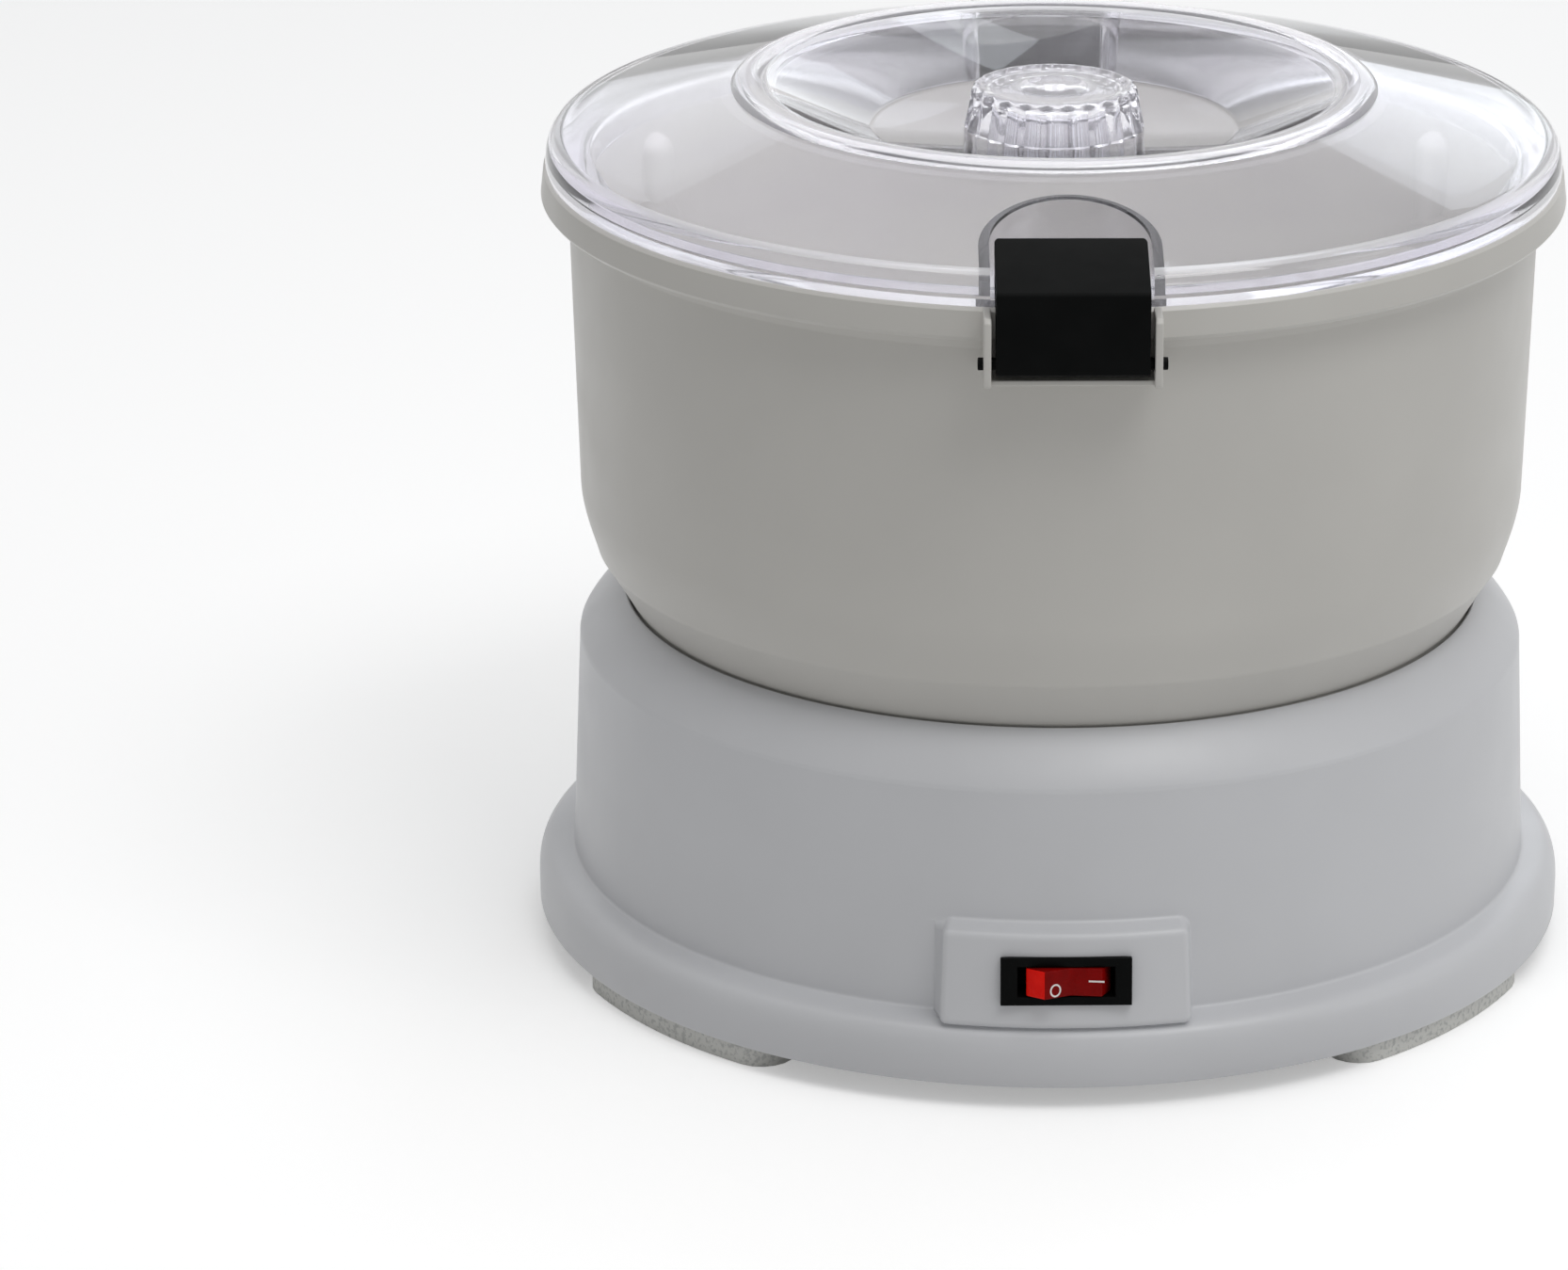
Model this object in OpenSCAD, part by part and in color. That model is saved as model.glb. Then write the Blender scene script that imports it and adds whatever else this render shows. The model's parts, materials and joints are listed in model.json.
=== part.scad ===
// Electric potato peeler: motor base, lift-off bowl with a turning peeling disc,
// clear lid held by two hooked latches, and a rocker switch.
// Millimetres, +Z up, origin on the floor under the bowl's axis, front towards -Y.

/* [Base] */
// Outside diameter of the base over its foot rim
base_d = 262; // [258:1:266]
// Height of the pads under the foot rim
foot_h = 5.8; // [5:0.1:7]
// Height of the base from the floor to its shoulder
base_h = 90; // [89:0.5:91]
// Thickness of the moulded walls
skin = 2.8; // [2.4:0.1:3]

/* [Switch] */
// Width of the raised pad round the switch
pad_w = 58.8; // [54:0.2:64]
// Height of the raised pad
pad_h = 24.6; // [22:0.2:26]
// Width of the switch bezel
bezel_w = 31.5; // [30:0.5:34]
// Height of the switch bezel
bezel_h = 11.6; // [11:0.2:13]
// Angle the rocker turns from one side to the other
rocker_throw = 24; // [18:1:26]

/* [Bowl] */
// Height of the bowl's top edge above the floor
bowl_top = 200.3; // [198:0.1:203]
// Outside diameter of the bowl's flange
flange_d = 254.8; // [253:0.2:256]
// Thickness of the bowl's wall
bowl_t = 2.6; // [2.2:0.1:2.8]
// Number of tumbling ribs inside the bowl
ribs = 3; // [2:1:4]

/* [Lid] */
// Height of the lid's cone edge above the bowl's top edge
skirt_h = 8.4; // [8:0.1:9]
// Height of the raised ring above the bowl's top edge
crown_h = 21; // [20:0.1:22]
// Thickness of the clear lid
lid_t = 2.2; // [2:0.1:2.4]
// Number of flutes round the knob
flutes = 24; // [18:1:30]

/* [Latches] */
// Width of a latch
latch_w = 35.6; // [33:0.2:36]
// Thickness of a latch's walls
latch_t = 2.6; // [2.2:0.1:2.8]

/* [Drive] */
// Radius of the peeling disc
disc_r = 105; // [98:1:105]
// Number of blades on the disc
blades = 3; // [3:1:4]
// Thinning of each gear tooth for backlash
tooth_slack = 0.22; // [0.16:0.02:0.3]

/* [Hidden] */

$fn = 96;
eps = 0.01;

// Colours
body_grey = "#b9b8b8";
clear_lilac = [0.86, 0.86, 0.92, 0.35];
black = "#1b1c1c";
steel = "#a8abad";
brass_tone = "#c2a24a";

// Base outline, radius and height
rim_r = base_d / 2;
wall_foot_r = rim_r - 9.4;
wall_top_r = rim_r - 11.2;
wall_top_z = base_h - 18;
flare_z = 14;
flare_top_z = 28;
lip_r = rim_r - 22.8;
recess_r = lip_r - 0.7;
deck_z = base_h - 8;
deck_t = 2.6;
deck_under = deck_z - deck_t;
collar_r = 15;
collar_top = deck_z + 10;

// Underside
plate_t = 2.5;
plate_top = foot_h + plate_t;
plate_r = rim_r - skin - 0.3;
post_ring_r = 108;
post_r = 4.5;
post_angles = [15, 105, 195, 285];
key_angles = [30, 150, 270];
cup_r = 6;
cup_top = plate_top + 3;
foot_in_r = 112;
foot_out_r = rim_r - 2.4;
foot_span = 34;
foot_angles = [39.5, 140.5, 219.5, 320.5];
peg_ring_r = 119;
peg_r = 2;
peg_angles = [-10, 10];
plate_rim_r = 122;
plate_rib_from = 74;
vent_w = 2.5;
vent_l = 40;

// Cord entry
gland_z = 30;
gland_r = 6.5;
cord_r = 3.6;
gland_in_u = 110;
gland_out_u = rim_r - 0.6;

// Bowl outline
bowl_foot_r = recess_r - 0.7;
bowl_foot_in_r = bowl_foot_r - 6.8;
bowl_floor = deck_z + 7;
bowl_wall_low_r = 118.7;
bowl_bend_z = base_h + 28;
bowl_wall_top_r = 120.6;
flange_r = flange_d / 2;
flange_low = bowl_top - 8.3;
bowl_in_r = 118;
tube_in_r = 16.5;
tube_out_r = 19;
tube_top = deck_z + 28;
key_w = 14;
key_h = 3.5;
rib_r = 6;
rib_low = bowl_floor + 34;
rib_l = 60;

// Latch and its ears; u is the distance from the bowl's axis
pivot_u = 131.3;
pivot_z = bowl_top - 11.5;
pin_r = 1.5;
ear_in = latch_w / 2 + 1.1;
ear_t = 1.8;
ear_u = 134.5;
shelf_z = pivot_z - 5.6;
shelf_t = 1.4;
latch_face_u = 134.2;
latch_tip_u = 110.7;
latch_crease_z = bowl_top + 6;
latch_tip_z = bowl_top + 12.7;
hook_z = bowl_top + 2.8;
hook_tip_u = 122.5;

// Lid outline
lid_r = 126;
skirt_r = 122.4;
ring_out_r = 80.1;
ring_in_r = 69.9;
dish_r = 45;
dish_z = bowl_top + 8.4;
spigot_r = 117.2;
spigot_h = 5.8;
pocket_r = 21.4;
pocket_u = 88 + pocket_r;
pocket_wall = 2.4;
lip_u = 124.5;

// Knob
knob_low_r = 22.4;
knob_top_r = 20.3;
knob_h = 10.7;
knob_t = 2.2;

// Switch, set square to the pad's slope
pad_low_u = 129.4;
pad_high_u = 125.6;
pad_z = 34;
pad_round = 2.6;
pad_tilt = atan((pad_low_u - pad_high_u) / pad_h);
switch_u = 127.7;
switch_z = 32.7;
bezel_t = 2;
bezel_out = 1.1;
window_w = 23.4;
window_h = 7.4;
rocker_len = 21;
rocker_tip = 8.3;
rocker_depth = 5.2;
rocker_lift = 2.6;
trunnion_r = 1.2;

// Gear train
pressure = 25;
fine_mod = 1;
coarse_mod = 1.25;
pinion_teeth = 14;
big_teeth = 56;
small_teeth = 16;
output_teeth = 56;
idler_gap = coarse_mod * (small_teeth + output_teeth) / 2;
motor_gap = fine_mod * (pinion_teeth + big_teeth) / 2;
motor_dir = -30;
idler_at = [0, idler_gap];
motor_at = idler_at + motor_gap * [cos(motor_dir), sin(motor_dir)];
case_low = deck_z - 27;
case_floor = 2.5;
cover_low = deck_under - 2.5;
fine_z = case_low + 4.5;
fine_w = 6;
coarse_z = fine_z + fine_w + 1;
coarse_w = 9;
case_wall = 2.5;
ear_z = deck_under - 10.5;
case_ears = [45 * [cos(200), sin(200)], 45 * [cos(340), sin(340)],
    idler_at + 38 * [cos(150), sin(150)], idler_at + 38 * [cos(50), sin(50)]];

// Motor
motor_r = 27;
motor_low = 14;
shaft_r = 2;
motor_wall = 1.6;
motor_screw_r = 12;
rotor_r = 20;
commutator_r = 6.5;
brush_w = 5;
brush_z = motor_low + 2.5;

// Shafts
drive_r = 5;
journal_r = 4;
hex_across = 9;
hex_low = deck_z + 14;
hex_top = deck_z + 30;
run_gap = 0.05;
axle_r = 3;

// Disc
disc_low = bowl_floor + 5;
disc_t = 3.2;
hub_r = 24;
hub_top = deck_z + 34;
boss_r = 10;
insert_r = 7.5;
blade_mid_u = 61;
blade_l = 62;
blade_w = 26;
blade_t = 0.8;
blade_screw_u = [blade_mid_u - 27, blade_mid_u + 27];

// ---------- shared functions ----------

// Points of a cubic curve from a to d, drawn towards b and c
function curve(a, b, c, d, n = 10) = [for (i = [0:n]) let (t = i / n, s = 1 - t)
    s * s * s * a + 3 * s * s * t * b + 3 * s * t * t * c + t * t * t * d];

function polar(r, a) = [r * cos(a), r * sin(a)];

// Points of a circle's arc
function arc(centre, r, from, to, n = 6) = [for (i = [0:n]) centre + polar(r, from + (to - from) * i / n)];

function reversed(list) = [for (i = [len(list) - 1:-1:0]) list[i]];

// Involute flank of a gear tooth: half the tooth's angle at a radius
function involute(a) = tan(a) * 180 / PI - a;
function half_tooth(r, m, n) = let (pitch_r = m * n / 2, base_r = pitch_r * cos(pressure))
    90 / n - tooth_slack / pitch_r * 90 / PI + involute(pressure) - involute(acos(min(1, base_r / r)));
function tooth(m, n, at) = let (pitch_r = m * n / 2,
        radii = [pitch_r - 1.2 * m, pitch_r - 0.5 * m, pitch_r + 0.2 * m, pitch_r + 0.95 * m])
    concat([for (r = radii) polar(r, at - half_tooth(r, m, n))],
        [for (r = reversed(radii)) polar(r, at + half_tooth(r, m, n))]);
function gear_outline(m, n, at) = [for (i = [0:n - 1]) each tooth(m, n, at + 360 * i / n)];

module ring_of(r, angles, z) {
    for (a = angles) rotate(a) translate([r, 0, z]) children();
}

module tube(outer_r, inner_r, low, high) {
    translate([0, 0, low]) difference() {
        cylinder(h = high - low, r = outer_r);
        translate([0, 0, -1]) cylinder(h = high - low + 2, r = inner_r);
    }
}

// Pan-head screw with a cross recess; its head's seat is at z = 0 and it points up
module screw(shank_r, shank_l, head_r, head_h) {
    difference() {
        union() {
            cylinder(h = shank_l, r = shank_r);
            translate([0, 0, -head_h]) cylinder(h = head_h, r1 = head_r * 0.8, r2 = head_r);
        }
        for (a = [0, 90]) rotate(a)
            translate([-head_r * 0.55, -0.35, -head_h - eps]) cube([head_r * 1.1, 0.7, head_h * 0.55]);
    }
}

// A block from a profile of [distance from the axis, height], facing -Y and w wide
module front_block(profile, w) {
    rotate([90, 0, -90]) translate([0, 0, -w / 2]) linear_extrude(w) polygon(profile);
}

// ---------- base ----------

base_outside = concat(
    [[rim_r - 0.8, foot_h], [rim_r, foot_h + 1.4]],
    curve([rim_r, flare_z], [rim_r, flare_z + 9], [wall_foot_r + 0.4, flare_top_z - 6],
        [wall_foot_r, flare_top_z], 14),
    curve([wall_top_r, wall_top_z], [wall_top_r - 0.4, wall_top_z + 11],
        [lip_r + 7.8, base_h - 2.5], [lip_r, base_h], 14),
    [[recess_r + 0.1, base_h - 0.6], [recess_r, base_h - 1.5]]);

base_inside = concat(
    [[recess_r + skin, deck_under], [recess_r + skin, base_h - 4.5]],
    reversed(curve([wall_top_r - skin, wall_top_z], [wall_top_r - skin, wall_top_z + 8],
        [lip_r + 6.2, base_h - 4.4], [recess_r + skin, base_h - 3.8], 6)),
    reversed(curve([rim_r - skin, flare_z - 1], [rim_r - skin, flare_z + 6.5],
        [wall_foot_r - 2, flare_top_z - 9], [wall_foot_r - skin, flare_top_z - 1], 8)),
    [[rim_r - skin, foot_h]]);

module base_shell() {
    rotate_extrude($fn = 180) polygon(concat(
        base_outside,
        [[recess_r, deck_z], [collar_r, deck_z], [collar_r, collar_top], [boss_r, collar_top],
            [boss_r, deck_under]],
        base_inside));
}

// Raised pad that carries the switch, rounded on every edge and bent round the base
module switch_pad() {
    half_turn = asin((pad_w / 2 - pad_round) / pad_low_u);
    hull() for (i = [-4:4]) for (end = [[pad_low_u, -1], [pad_high_u, 1]])
        rotate(half_turn * i / 4)
            translate([0, -end[0] + pad_round, pad_z + end[1] * (pad_h / 2 - pad_round)])
                sphere(r = pad_round, $fn = 24);
}

module switch_frame() {
    translate([0, -switch_u, switch_z]) rotate([-pad_tilt, 0, 0]) children();
}

module gland_frame() {
    translate([0, 0, gland_z]) rotate([-90, 0, 0]) children();
}

module gland_boss() {
    gland_frame() translate([0, 0, gland_in_u + 4]) cylinder(h = gland_out_u - gland_in_u - 4, r = 11);
}

module base_housing() {
    color(body_grey) difference() {
        union() {
            base_shell();
            difference() {
                switch_pad();
                cylinder(h = base_h, r = wall_foot_r - 1.2);
            }
            gland_boss();
            // lugs that stop the bowl from turning
            for (a = key_angles) rotate(a)
                translate([bowl_foot_in_r - 1, -key_w / 2, deck_z - eps])
                    cube([recess_r - bowl_foot_in_r + 1.5, key_w, key_h]);
            // posts for the screws of the underside
            ring_of(post_ring_r, post_angles, cup_top)
                cylinder(h = deck_under - cup_top + eps, r = post_r);
            // bosses for the gearbox screws
            for (p = case_ears) translate([p[0], p[1], ear_z + 2.5])
                cylinder(h = deck_under - ear_z - 2.5 + eps, r = 4.4);
        }
        switch_frame() translate([-bezel_w / 2 + 1.2, -6, -bezel_h / 2 + 1.2])
            cube([bezel_w - 2.4, 20, bezel_h - 2.4]);
        switch_frame() translate([-bezel_w / 2 - 0.1, bezel_t - bezel_out - 4, -bezel_h / 2 - 0.1])
            cube([bezel_w + 0.2, 4, bezel_h + 0.2]);
        gland_frame() translate([0, 0, gland_in_u - 10]) cylinder(h = 40, r = gland_r + 0.1);
        ring_of(post_ring_r, post_angles, cup_top - 1) cylinder(h = 14, r = 1.6);
        for (p = case_ears) translate([p[0], p[1], ear_z]) cylinder(h = 9.6, r = 1.3);
    }
}

module base_plate() {
    color("#9a9a9a") difference() {
        union() {
            translate([0, 0, foot_h]) cylinder(h = plate_t, r = plate_r, $fn = 180);
            tube(plate_rim_r, plate_rim_r - 2, plate_top - eps, plate_top + 3);
            ring_of(post_ring_r, post_angles, foot_h) cylinder(h = cup_top - foot_h, r = cup_r);
            // stiffening ribs
            for (i = [0:11]) rotate(30 * i) translate([plate_rib_from, -0.8, plate_top - eps])
                cube([plate_rim_r - 1 - plate_rib_from, 1.6, 2.5]);
        }
        ring_of(post_ring_r, post_angles, foot_h - 1) cylinder(h = cup_top - foot_h - 1, r = 3.6);
        ring_of(post_ring_r, post_angles, foot_h - 1) cylinder(h = 10, r = 1.7);
        // cooling slots under the motor
        for (i = [-4:4])
            translate([motor_at[0] + 2.2 * vent_w * i - vent_w / 2, motor_at[1] - vent_l / 2, foot_h - 1])
                cube([vent_w, vent_l, plate_t + 2]);
        // holes for the pegs of the feet
        for (a = foot_angles) for (turn = peg_angles) rotate(a + turn)
            translate([peg_ring_r, 0, foot_h - 1]) cylinder(h = plate_t + 5, r = peg_r);
    }
}

module base_screws() {
    color(steel) ring_of(post_ring_r, post_angles, cup_top - 2) screw(1.6, 14, 3.2, 2.2);
}

// One pad under the rim, a thick arc with rounded ends
module foot_pad() {
    mid_r = (foot_in_r + foot_out_r) / 2;
    half = (foot_out_r - foot_in_r) / 2;
    turn = foot_span / 2 - asin(half / mid_r);
    linear_extrude(foot_h) polygon(concat(
        arc([0, 0], foot_out_r, -turn, turn, 12),
        arc(polar(mid_r, turn), half, turn + 20, turn + 160, 7),
        arc([0, 0], foot_in_r, turn, -turn, 12),
        arc(polar(mid_r, -turn), half, 200 - turn, 340 - turn, 7)));
    ring_of(peg_ring_r, peg_angles, foot_h - eps) cylinder(h = plate_t + 1.5, r = peg_r);
}

module feet() {
    color("#c4c4c0") for (a = foot_angles) rotate(a) foot_pad();
}

module cord_gland() {
    color(black) gland_frame() difference() {
        union() {
            translate([0, 0, gland_in_u]) cylinder(h = gland_out_u - gland_in_u, r = gland_r);
            translate([0, 0, gland_out_u]) cylinder(h = 2, r = 9);
            translate([0, 0, gland_out_u + 2]) cylinder(h = 1.8, r1 = 7, r2 = 6);
            // nut on the inside of the wall
            translate([0, 0, gland_in_u + 0.5]) cylinder(h = 3.5, r = 9, $fn = 6);
        }
        translate([0, 0, gland_in_u - 1]) cylinder(h = 27, r = cord_r);
    }
}

module terminal_block() {
    ways = 3;
    pitch = 8;
    depth = 14;
    color("#e6e4dc") translate([-60, -62, plate_top]) difference() {
        cube([ways * pitch + 2, depth, 11]);
        for (i = [0:ways - 1]) translate([(i + 0.5) * pitch + 1, 0, 4]) {
            translate([0, depth / 2, 0]) cylinder(h = 10, r = 1.8);
            translate([0, -1, 0]) rotate([-90, 0, 0]) cylinder(h = depth + 2, r = 1.6);
        }
        for (i = [1:ways - 1]) translate([i * pitch + 0.4, -1, 8]) cube([1.2, depth + 2, 4]);
    }
}

module power_board() {
    w = 40;
    l = 28;
    stand = 5;
    board_t = 1.6;
    color("#2f6b45") translate([30, -72, plate_top]) {
        for (x = [3, w - 3]) for (y = [3, l - 3]) translate([x, y, 0]) cylinder(h = stand, r = 2);
        translate([0, 0, stand]) cube([w, l, board_t]);
        translate([0, 0, stand + board_t - eps]) {
            // heat sink, capacitor and relay
            translate([5, 7, 0]) cube([15, 4, 11]);
            translate([29, l / 2, 0]) cylinder(h = 17, r = 6);
            translate([6, 17, 0]) cube([12, 6, 8]);
        }
    }
}

// ---------- switch ----------

// Two sloping halves that meet in a shallow valley, sloping ends and a round underside
module rocker_outline() {
    half = [[rocker_len / 2 - 0.6, 0.5], [rocker_len / 2, rocker_depth - 0.2],
        [rocker_tip, rocker_depth + rocker_lift]];
    polygon(concat([[0, rocker_depth]], [for (p = reversed(half)) [-p[0], p[1]]],
        arc([0, 0], 6.5, 215, 325, 8), half));
}

// Places children with the rocker's pivot as the origin and +Y pointing out of the switch
module rocker_frame() {
    switch_frame() translate([0, -bezel_out + rocker_depth, 0]) rotate(180) children();
}

module rocker_button() {
    color("#c01a16") rocker_frame() rotate(rocker_throw / 2) {
        translate([0, 0, -window_h / 2 + 0.3]) linear_extrude(window_h - 0.6) rocker_outline();
        translate([0, 0, -window_h / 2 - 0.6]) cylinder(h = window_h + 1.2, r = trunnion_r);
    }
}

module switch_body() {
    color(black) switch_frame() difference() {
        union() {
            translate([-bezel_w / 2, -bezel_out, -bezel_h / 2]) cube([bezel_w, bezel_t, bezel_h]);
            translate([-bezel_w / 2 + 1.4, 0, -bezel_h / 2 + 1.4])
                cube([bezel_w - 2.8, 17, bezel_h - 2.8]);
        }
        translate([-window_w / 2, -bezel_out - 1, -window_h / 2]) cube([window_w, 14, window_h]);
        translate([0, -bezel_out + rocker_depth, -bezel_h])
            cylinder(h = 2 * bezel_h, r = trunnion_r + run_gap);
    }
}

module switch_terminals() {
    color(brass_tone) switch_frame() for (x = [-8, 0, 8])
        translate([x - 0.4, 17, -2.2]) cube([0.8, 8, 4.4]);
}

// ---------- motor ----------

module at_motor() {
    translate([motor_at[0], motor_at[1], 0]) children();
}

module motor_screw_holes(r, low, high) {
    for (s = [-1, 1]) translate(concat(polar(motor_screw_r * s, motor_dir), low))
        cylinder(h = high - low, r = r);
}

module motor_can() {
    color(steel) at_motor() difference() {
        union() {
            translate([0, 0, motor_low]) cylinder(h = case_low - motor_low, r = motor_r);
            translate([0, 0, case_low - eps]) cylinder(h = case_floor, r = 6.5);
        }
        translate([0, 0, motor_low - 1]) cylinder(h = case_low - motor_low - 1, r = motor_r - motor_wall);
        cylinder(h = deck_z, r = shaft_r + run_gap);
        motor_screw_holes(1.5, case_low - 4, case_low + 1);
        // air slots round the wall
        for (i = [0:5]) rotate(60 * i + 15) translate([motor_r - 4, -3, motor_low + 34])
            cube([6, 6, 4]);
    }
}

module motor_magnets() {
    color("#4a4a4e") at_motor() translate([0, 0, motor_low + 10]) difference() {
        cylinder(h = 22, r = motor_r - motor_wall);
        translate([0, 0, -1]) cylinder(h = 24, r = rotor_r + 1.4);
        translate([-40, -9, -1]) cube([80, 18, 24]);
    }
}

module motor_end_cap() {
    color(black) at_motor() difference() {
        union() {
            translate([0, 0, motor_low - 4.5]) cylinder(h = 4.5, r = motor_r);
            translate([0, 0, motor_low - eps]) cylinder(h = 1.5, r = motor_r - 1.8);
            for (a = [0, 180]) rotate(a) translate([7.5, -4, motor_low]) cube([11, 8, 7]);
        }
        for (a = [0, 180]) rotate(a) translate([6, -brush_w / 2, brush_z]) cube([10, brush_w, 4]);
        translate([0, 0, motor_low - 4]) cylinder(h = 8, r = shaft_r + run_gap);
        for (i = [0:5]) rotate(60 * i + 30) translate([14, -2, motor_low - 5]) cube([8, 4, 8]);
    }
}

module motor_brushes() {
    color("#33312f") at_motor() for (a = [0, 180]) rotate(a)
        translate([commutator_r + 0.3, -brush_w / 2, brush_z]) cube([9, brush_w, 4]);
}

module motor_screws() {
    color(steel) at_motor() for (s = [-1, 1])
        translate(concat(polar(motor_screw_r * s, motor_dir), case_low + case_floor))
            rotate([180, 0, 0]) screw(1.5, 4.5, 2.8, 1.4);
}

module motor_shaft() {
    color(steel) at_motor() translate([0, 0, motor_low - 3.5])
        cylinder(h = fine_z + fine_w + 0.4 - motor_low + 3.5, r = shaft_r);
}

module rotor_core() {
    color("#6d7074") at_motor() translate([0, 0, motor_low + 12]) difference() {
        cylinder(h = 20, r = rotor_r);
        translate([0, 0, -1]) cylinder(h = 22, r = shaft_r);
        for (i = [0:11]) rotate(30 * i) {
            translate([13, 0, -1]) cylinder(h = 22, r = 2.6, $fn = 24);
            translate([13, -0.8, -1]) cube([9, 1.6, 22]);
        }
    }
}

module rotor_windings() {
    color("#b06a3a") at_motor() for (z = [motor_low + 7.6, motor_low + 32]) translate([0, 0, z])
        rotate_extrude() polygon(concat([[9, 0]], [[17, 0]], arc([15.6, 2.2], 2.2, 0, 90, 4),
            [[9, 4.4]]));
}

module commutator() {
    color("#b9773f") at_motor() translate([0, 0, motor_low + 1.8]) difference() {
        cylinder(h = 5.4, r = commutator_r);
        translate([0, 0, -1]) cylinder(h = 8, r = shaft_r);
        for (i = [0:11]) rotate(30 * i) translate([commutator_r - 1, -0.25, -1]) cube([2, 0.5, 8]);
    }
}

module motor_pinion() {
    color(brass_tone) at_motor() translate([0, 0, fine_z]) linear_extrude(fine_w) difference() {
        polygon(gear_outline(fine_mod, pinion_teeth, motor_dir + 180 + 180 / pinion_teeth));
        circle(r = shaft_r);
    }
}

// ---------- gearbox ----------

module case_outline(inset) {
    circle(r = 40 - inset);
    translate(idler_at) circle(r = 33 - inset);
    translate(motor_at) circle(r = 18 - inset);
}

module gearbox_case() {
    color("#8d8f90") difference() {
        union() {
            translate([0, 0, case_low]) linear_extrude(cover_low - case_low) case_outline(0);
            translate([0, 0, case_low - 6]) cylinder(h = 7, r = 10.5);
            for (p = case_ears) translate([p[0], p[1], ear_z]) cylinder(h = 2.5, r = 5.5);
            for (p = case_ears) translate([p[0], p[1], ear_z - 2.2])
                rotate(atan2(p[1] - (p[1] > 0 ? idler_gap : 0), p[0]))
                    translate([-7, -2, 0]) cube([7, 4, 3]);
        }
        translate([0, 0, case_low + case_floor]) linear_extrude(30) case_outline(case_wall);
        translate([0, 0, case_low - 4]) cylinder(h = 10, r = 7);
        translate([idler_at[0], idler_at[1], case_low - 1]) cylinder(h = 10, r = axle_r);
        at_motor() translate([0, 0, case_low - 1]) cylinder(h = 6, r = 6.5);
        at_motor() motor_screw_holes(1.5, case_low - 1, case_low + 6);
        for (p = case_ears) translate([p[0], p[1], ear_z - 3]) cylinder(h = 8, r = 1.5);
        for (p = case_ears) translate([p[0], p[1], ear_z - 3]) cylinder(h = 3, r = 3.2);
    }
}

module gearbox_cover() {
    color("#a5a7a8") translate([0, 0, cover_low]) linear_extrude(deck_under - cover_low) difference() {
        case_outline(0);
        circle(r = 10.5);
        translate(idler_at) circle(r = axle_r);
    }
}

module gearbox_screws() {
    color(steel) for (p = case_ears) translate([p[0], p[1], ear_z]) screw(1.3, 9, 3, 2);
}

module lower_bush() {
    color(brass_tone) tube(7, journal_r + run_gap, case_low - 4, case_low + 4);
}

module upper_bush() {
    color(brass_tone) tube(boss_r, drive_r + run_gap, deck_under, collar_top - 4);
}

module shaft_seal() {
    color("#2a2a2a") tube(boss_r, drive_r + 0.3, collar_top - 2.4, collar_top);
}

module idler_axle() {
    color(steel) translate([idler_at[0], idler_at[1], case_low])
        cylinder(h = deck_under - case_low, r = axle_r);
}

module idler_gear() {
    color("#e9e6da") translate([idler_at[0], idler_at[1], 0]) difference() {
        union() {
            translate([0, 0, fine_z]) linear_extrude(fine_w) difference() {
                polygon(gear_outline(fine_mod, big_teeth, motor_dir));
                for (i = [0:5]) rotate(60 * i) translate([18.5, 0]) circle(r = 4.5);
            }
            translate([0, 0, fine_z + fine_w - eps]) linear_extrude(coarse_z + coarse_w - fine_z - fine_w)
                polygon(gear_outline(coarse_mod, small_teeth, 270));
        }
        translate([0, 0, fine_z - 1]) cylinder(h = 30, r = axle_r + run_gap);
    }
}

module output_gear() {
    color("#e9e6da") difference() {
        union() {
            translate([0, 0, coarse_z]) linear_extrude(coarse_w) difference() {
                polygon(gear_outline(coarse_mod, output_teeth, 90 + 180 / output_teeth));
                for (i = [0:5]) rotate(60 * i) translate([21.5, 0]) circle(r = 6.5);
            }
            translate([0, 0, fine_z + 1.5]) cylinder(h = coarse_z - fine_z, r = 9);
        }
        translate([0, 0, fine_z]) cylinder(h = 30, r = drive_r);
    }
}

module drive_shaft() {
    color(steel) {
        translate([0, 0, case_low - 3.6]) cylinder(h = fine_z + 1.5 - case_low + 3.6 + eps, r = journal_r);
        difference() {
            translate([0, 0, fine_z + 1.5]) cylinder(h = hex_low - fine_z - 1.5, r = drive_r);
            tube(drive_r + 1, drive_r - 0.5, collar_top - 3.8, collar_top - 3);
        }
        translate([0, 0, hex_low - eps])
            cylinder(h = hex_top - hex_low, r = hex_across / 2 / cos(30), $fn = 6);
    }
}

module thrust_washer() {
    color(steel) tube(9, drive_r, coarse_z + coarse_w, coarse_z + coarse_w + 0.8);
}

module drive_circlip() {
    color(steel) difference() {
        tube(drive_r + 2, drive_r - 0.5, collar_top - 3.8, collar_top - 3);
        translate([drive_r - 1, -1.5, collar_top - 5]) cube([6, 3, 4]);
    }
}

// ---------- bowl ----------

bowl_outside = concat(
    [[bowl_foot_in_r, deck_z], [bowl_foot_r, deck_z], [bowl_foot_r, base_h - 0.2]],
    curve([bowl_foot_r + 0.6, base_h + 0.5], [bowl_foot_r + 3.7, base_h + 2.5],
        [bowl_wall_low_r - 2.2, base_h + 13], [bowl_wall_low_r, bowl_bend_z], 12),
    [[bowl_wall_top_r, flange_low - 3.5], [bowl_wall_top_r + 0.9, flange_low - 1],
        [flange_r - 0.8, flange_low], [flange_r, flange_low + 1], [flange_r - 0.9, bowl_top - 0.9],
        [flange_r - 1.6, bowl_top]]);

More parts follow.
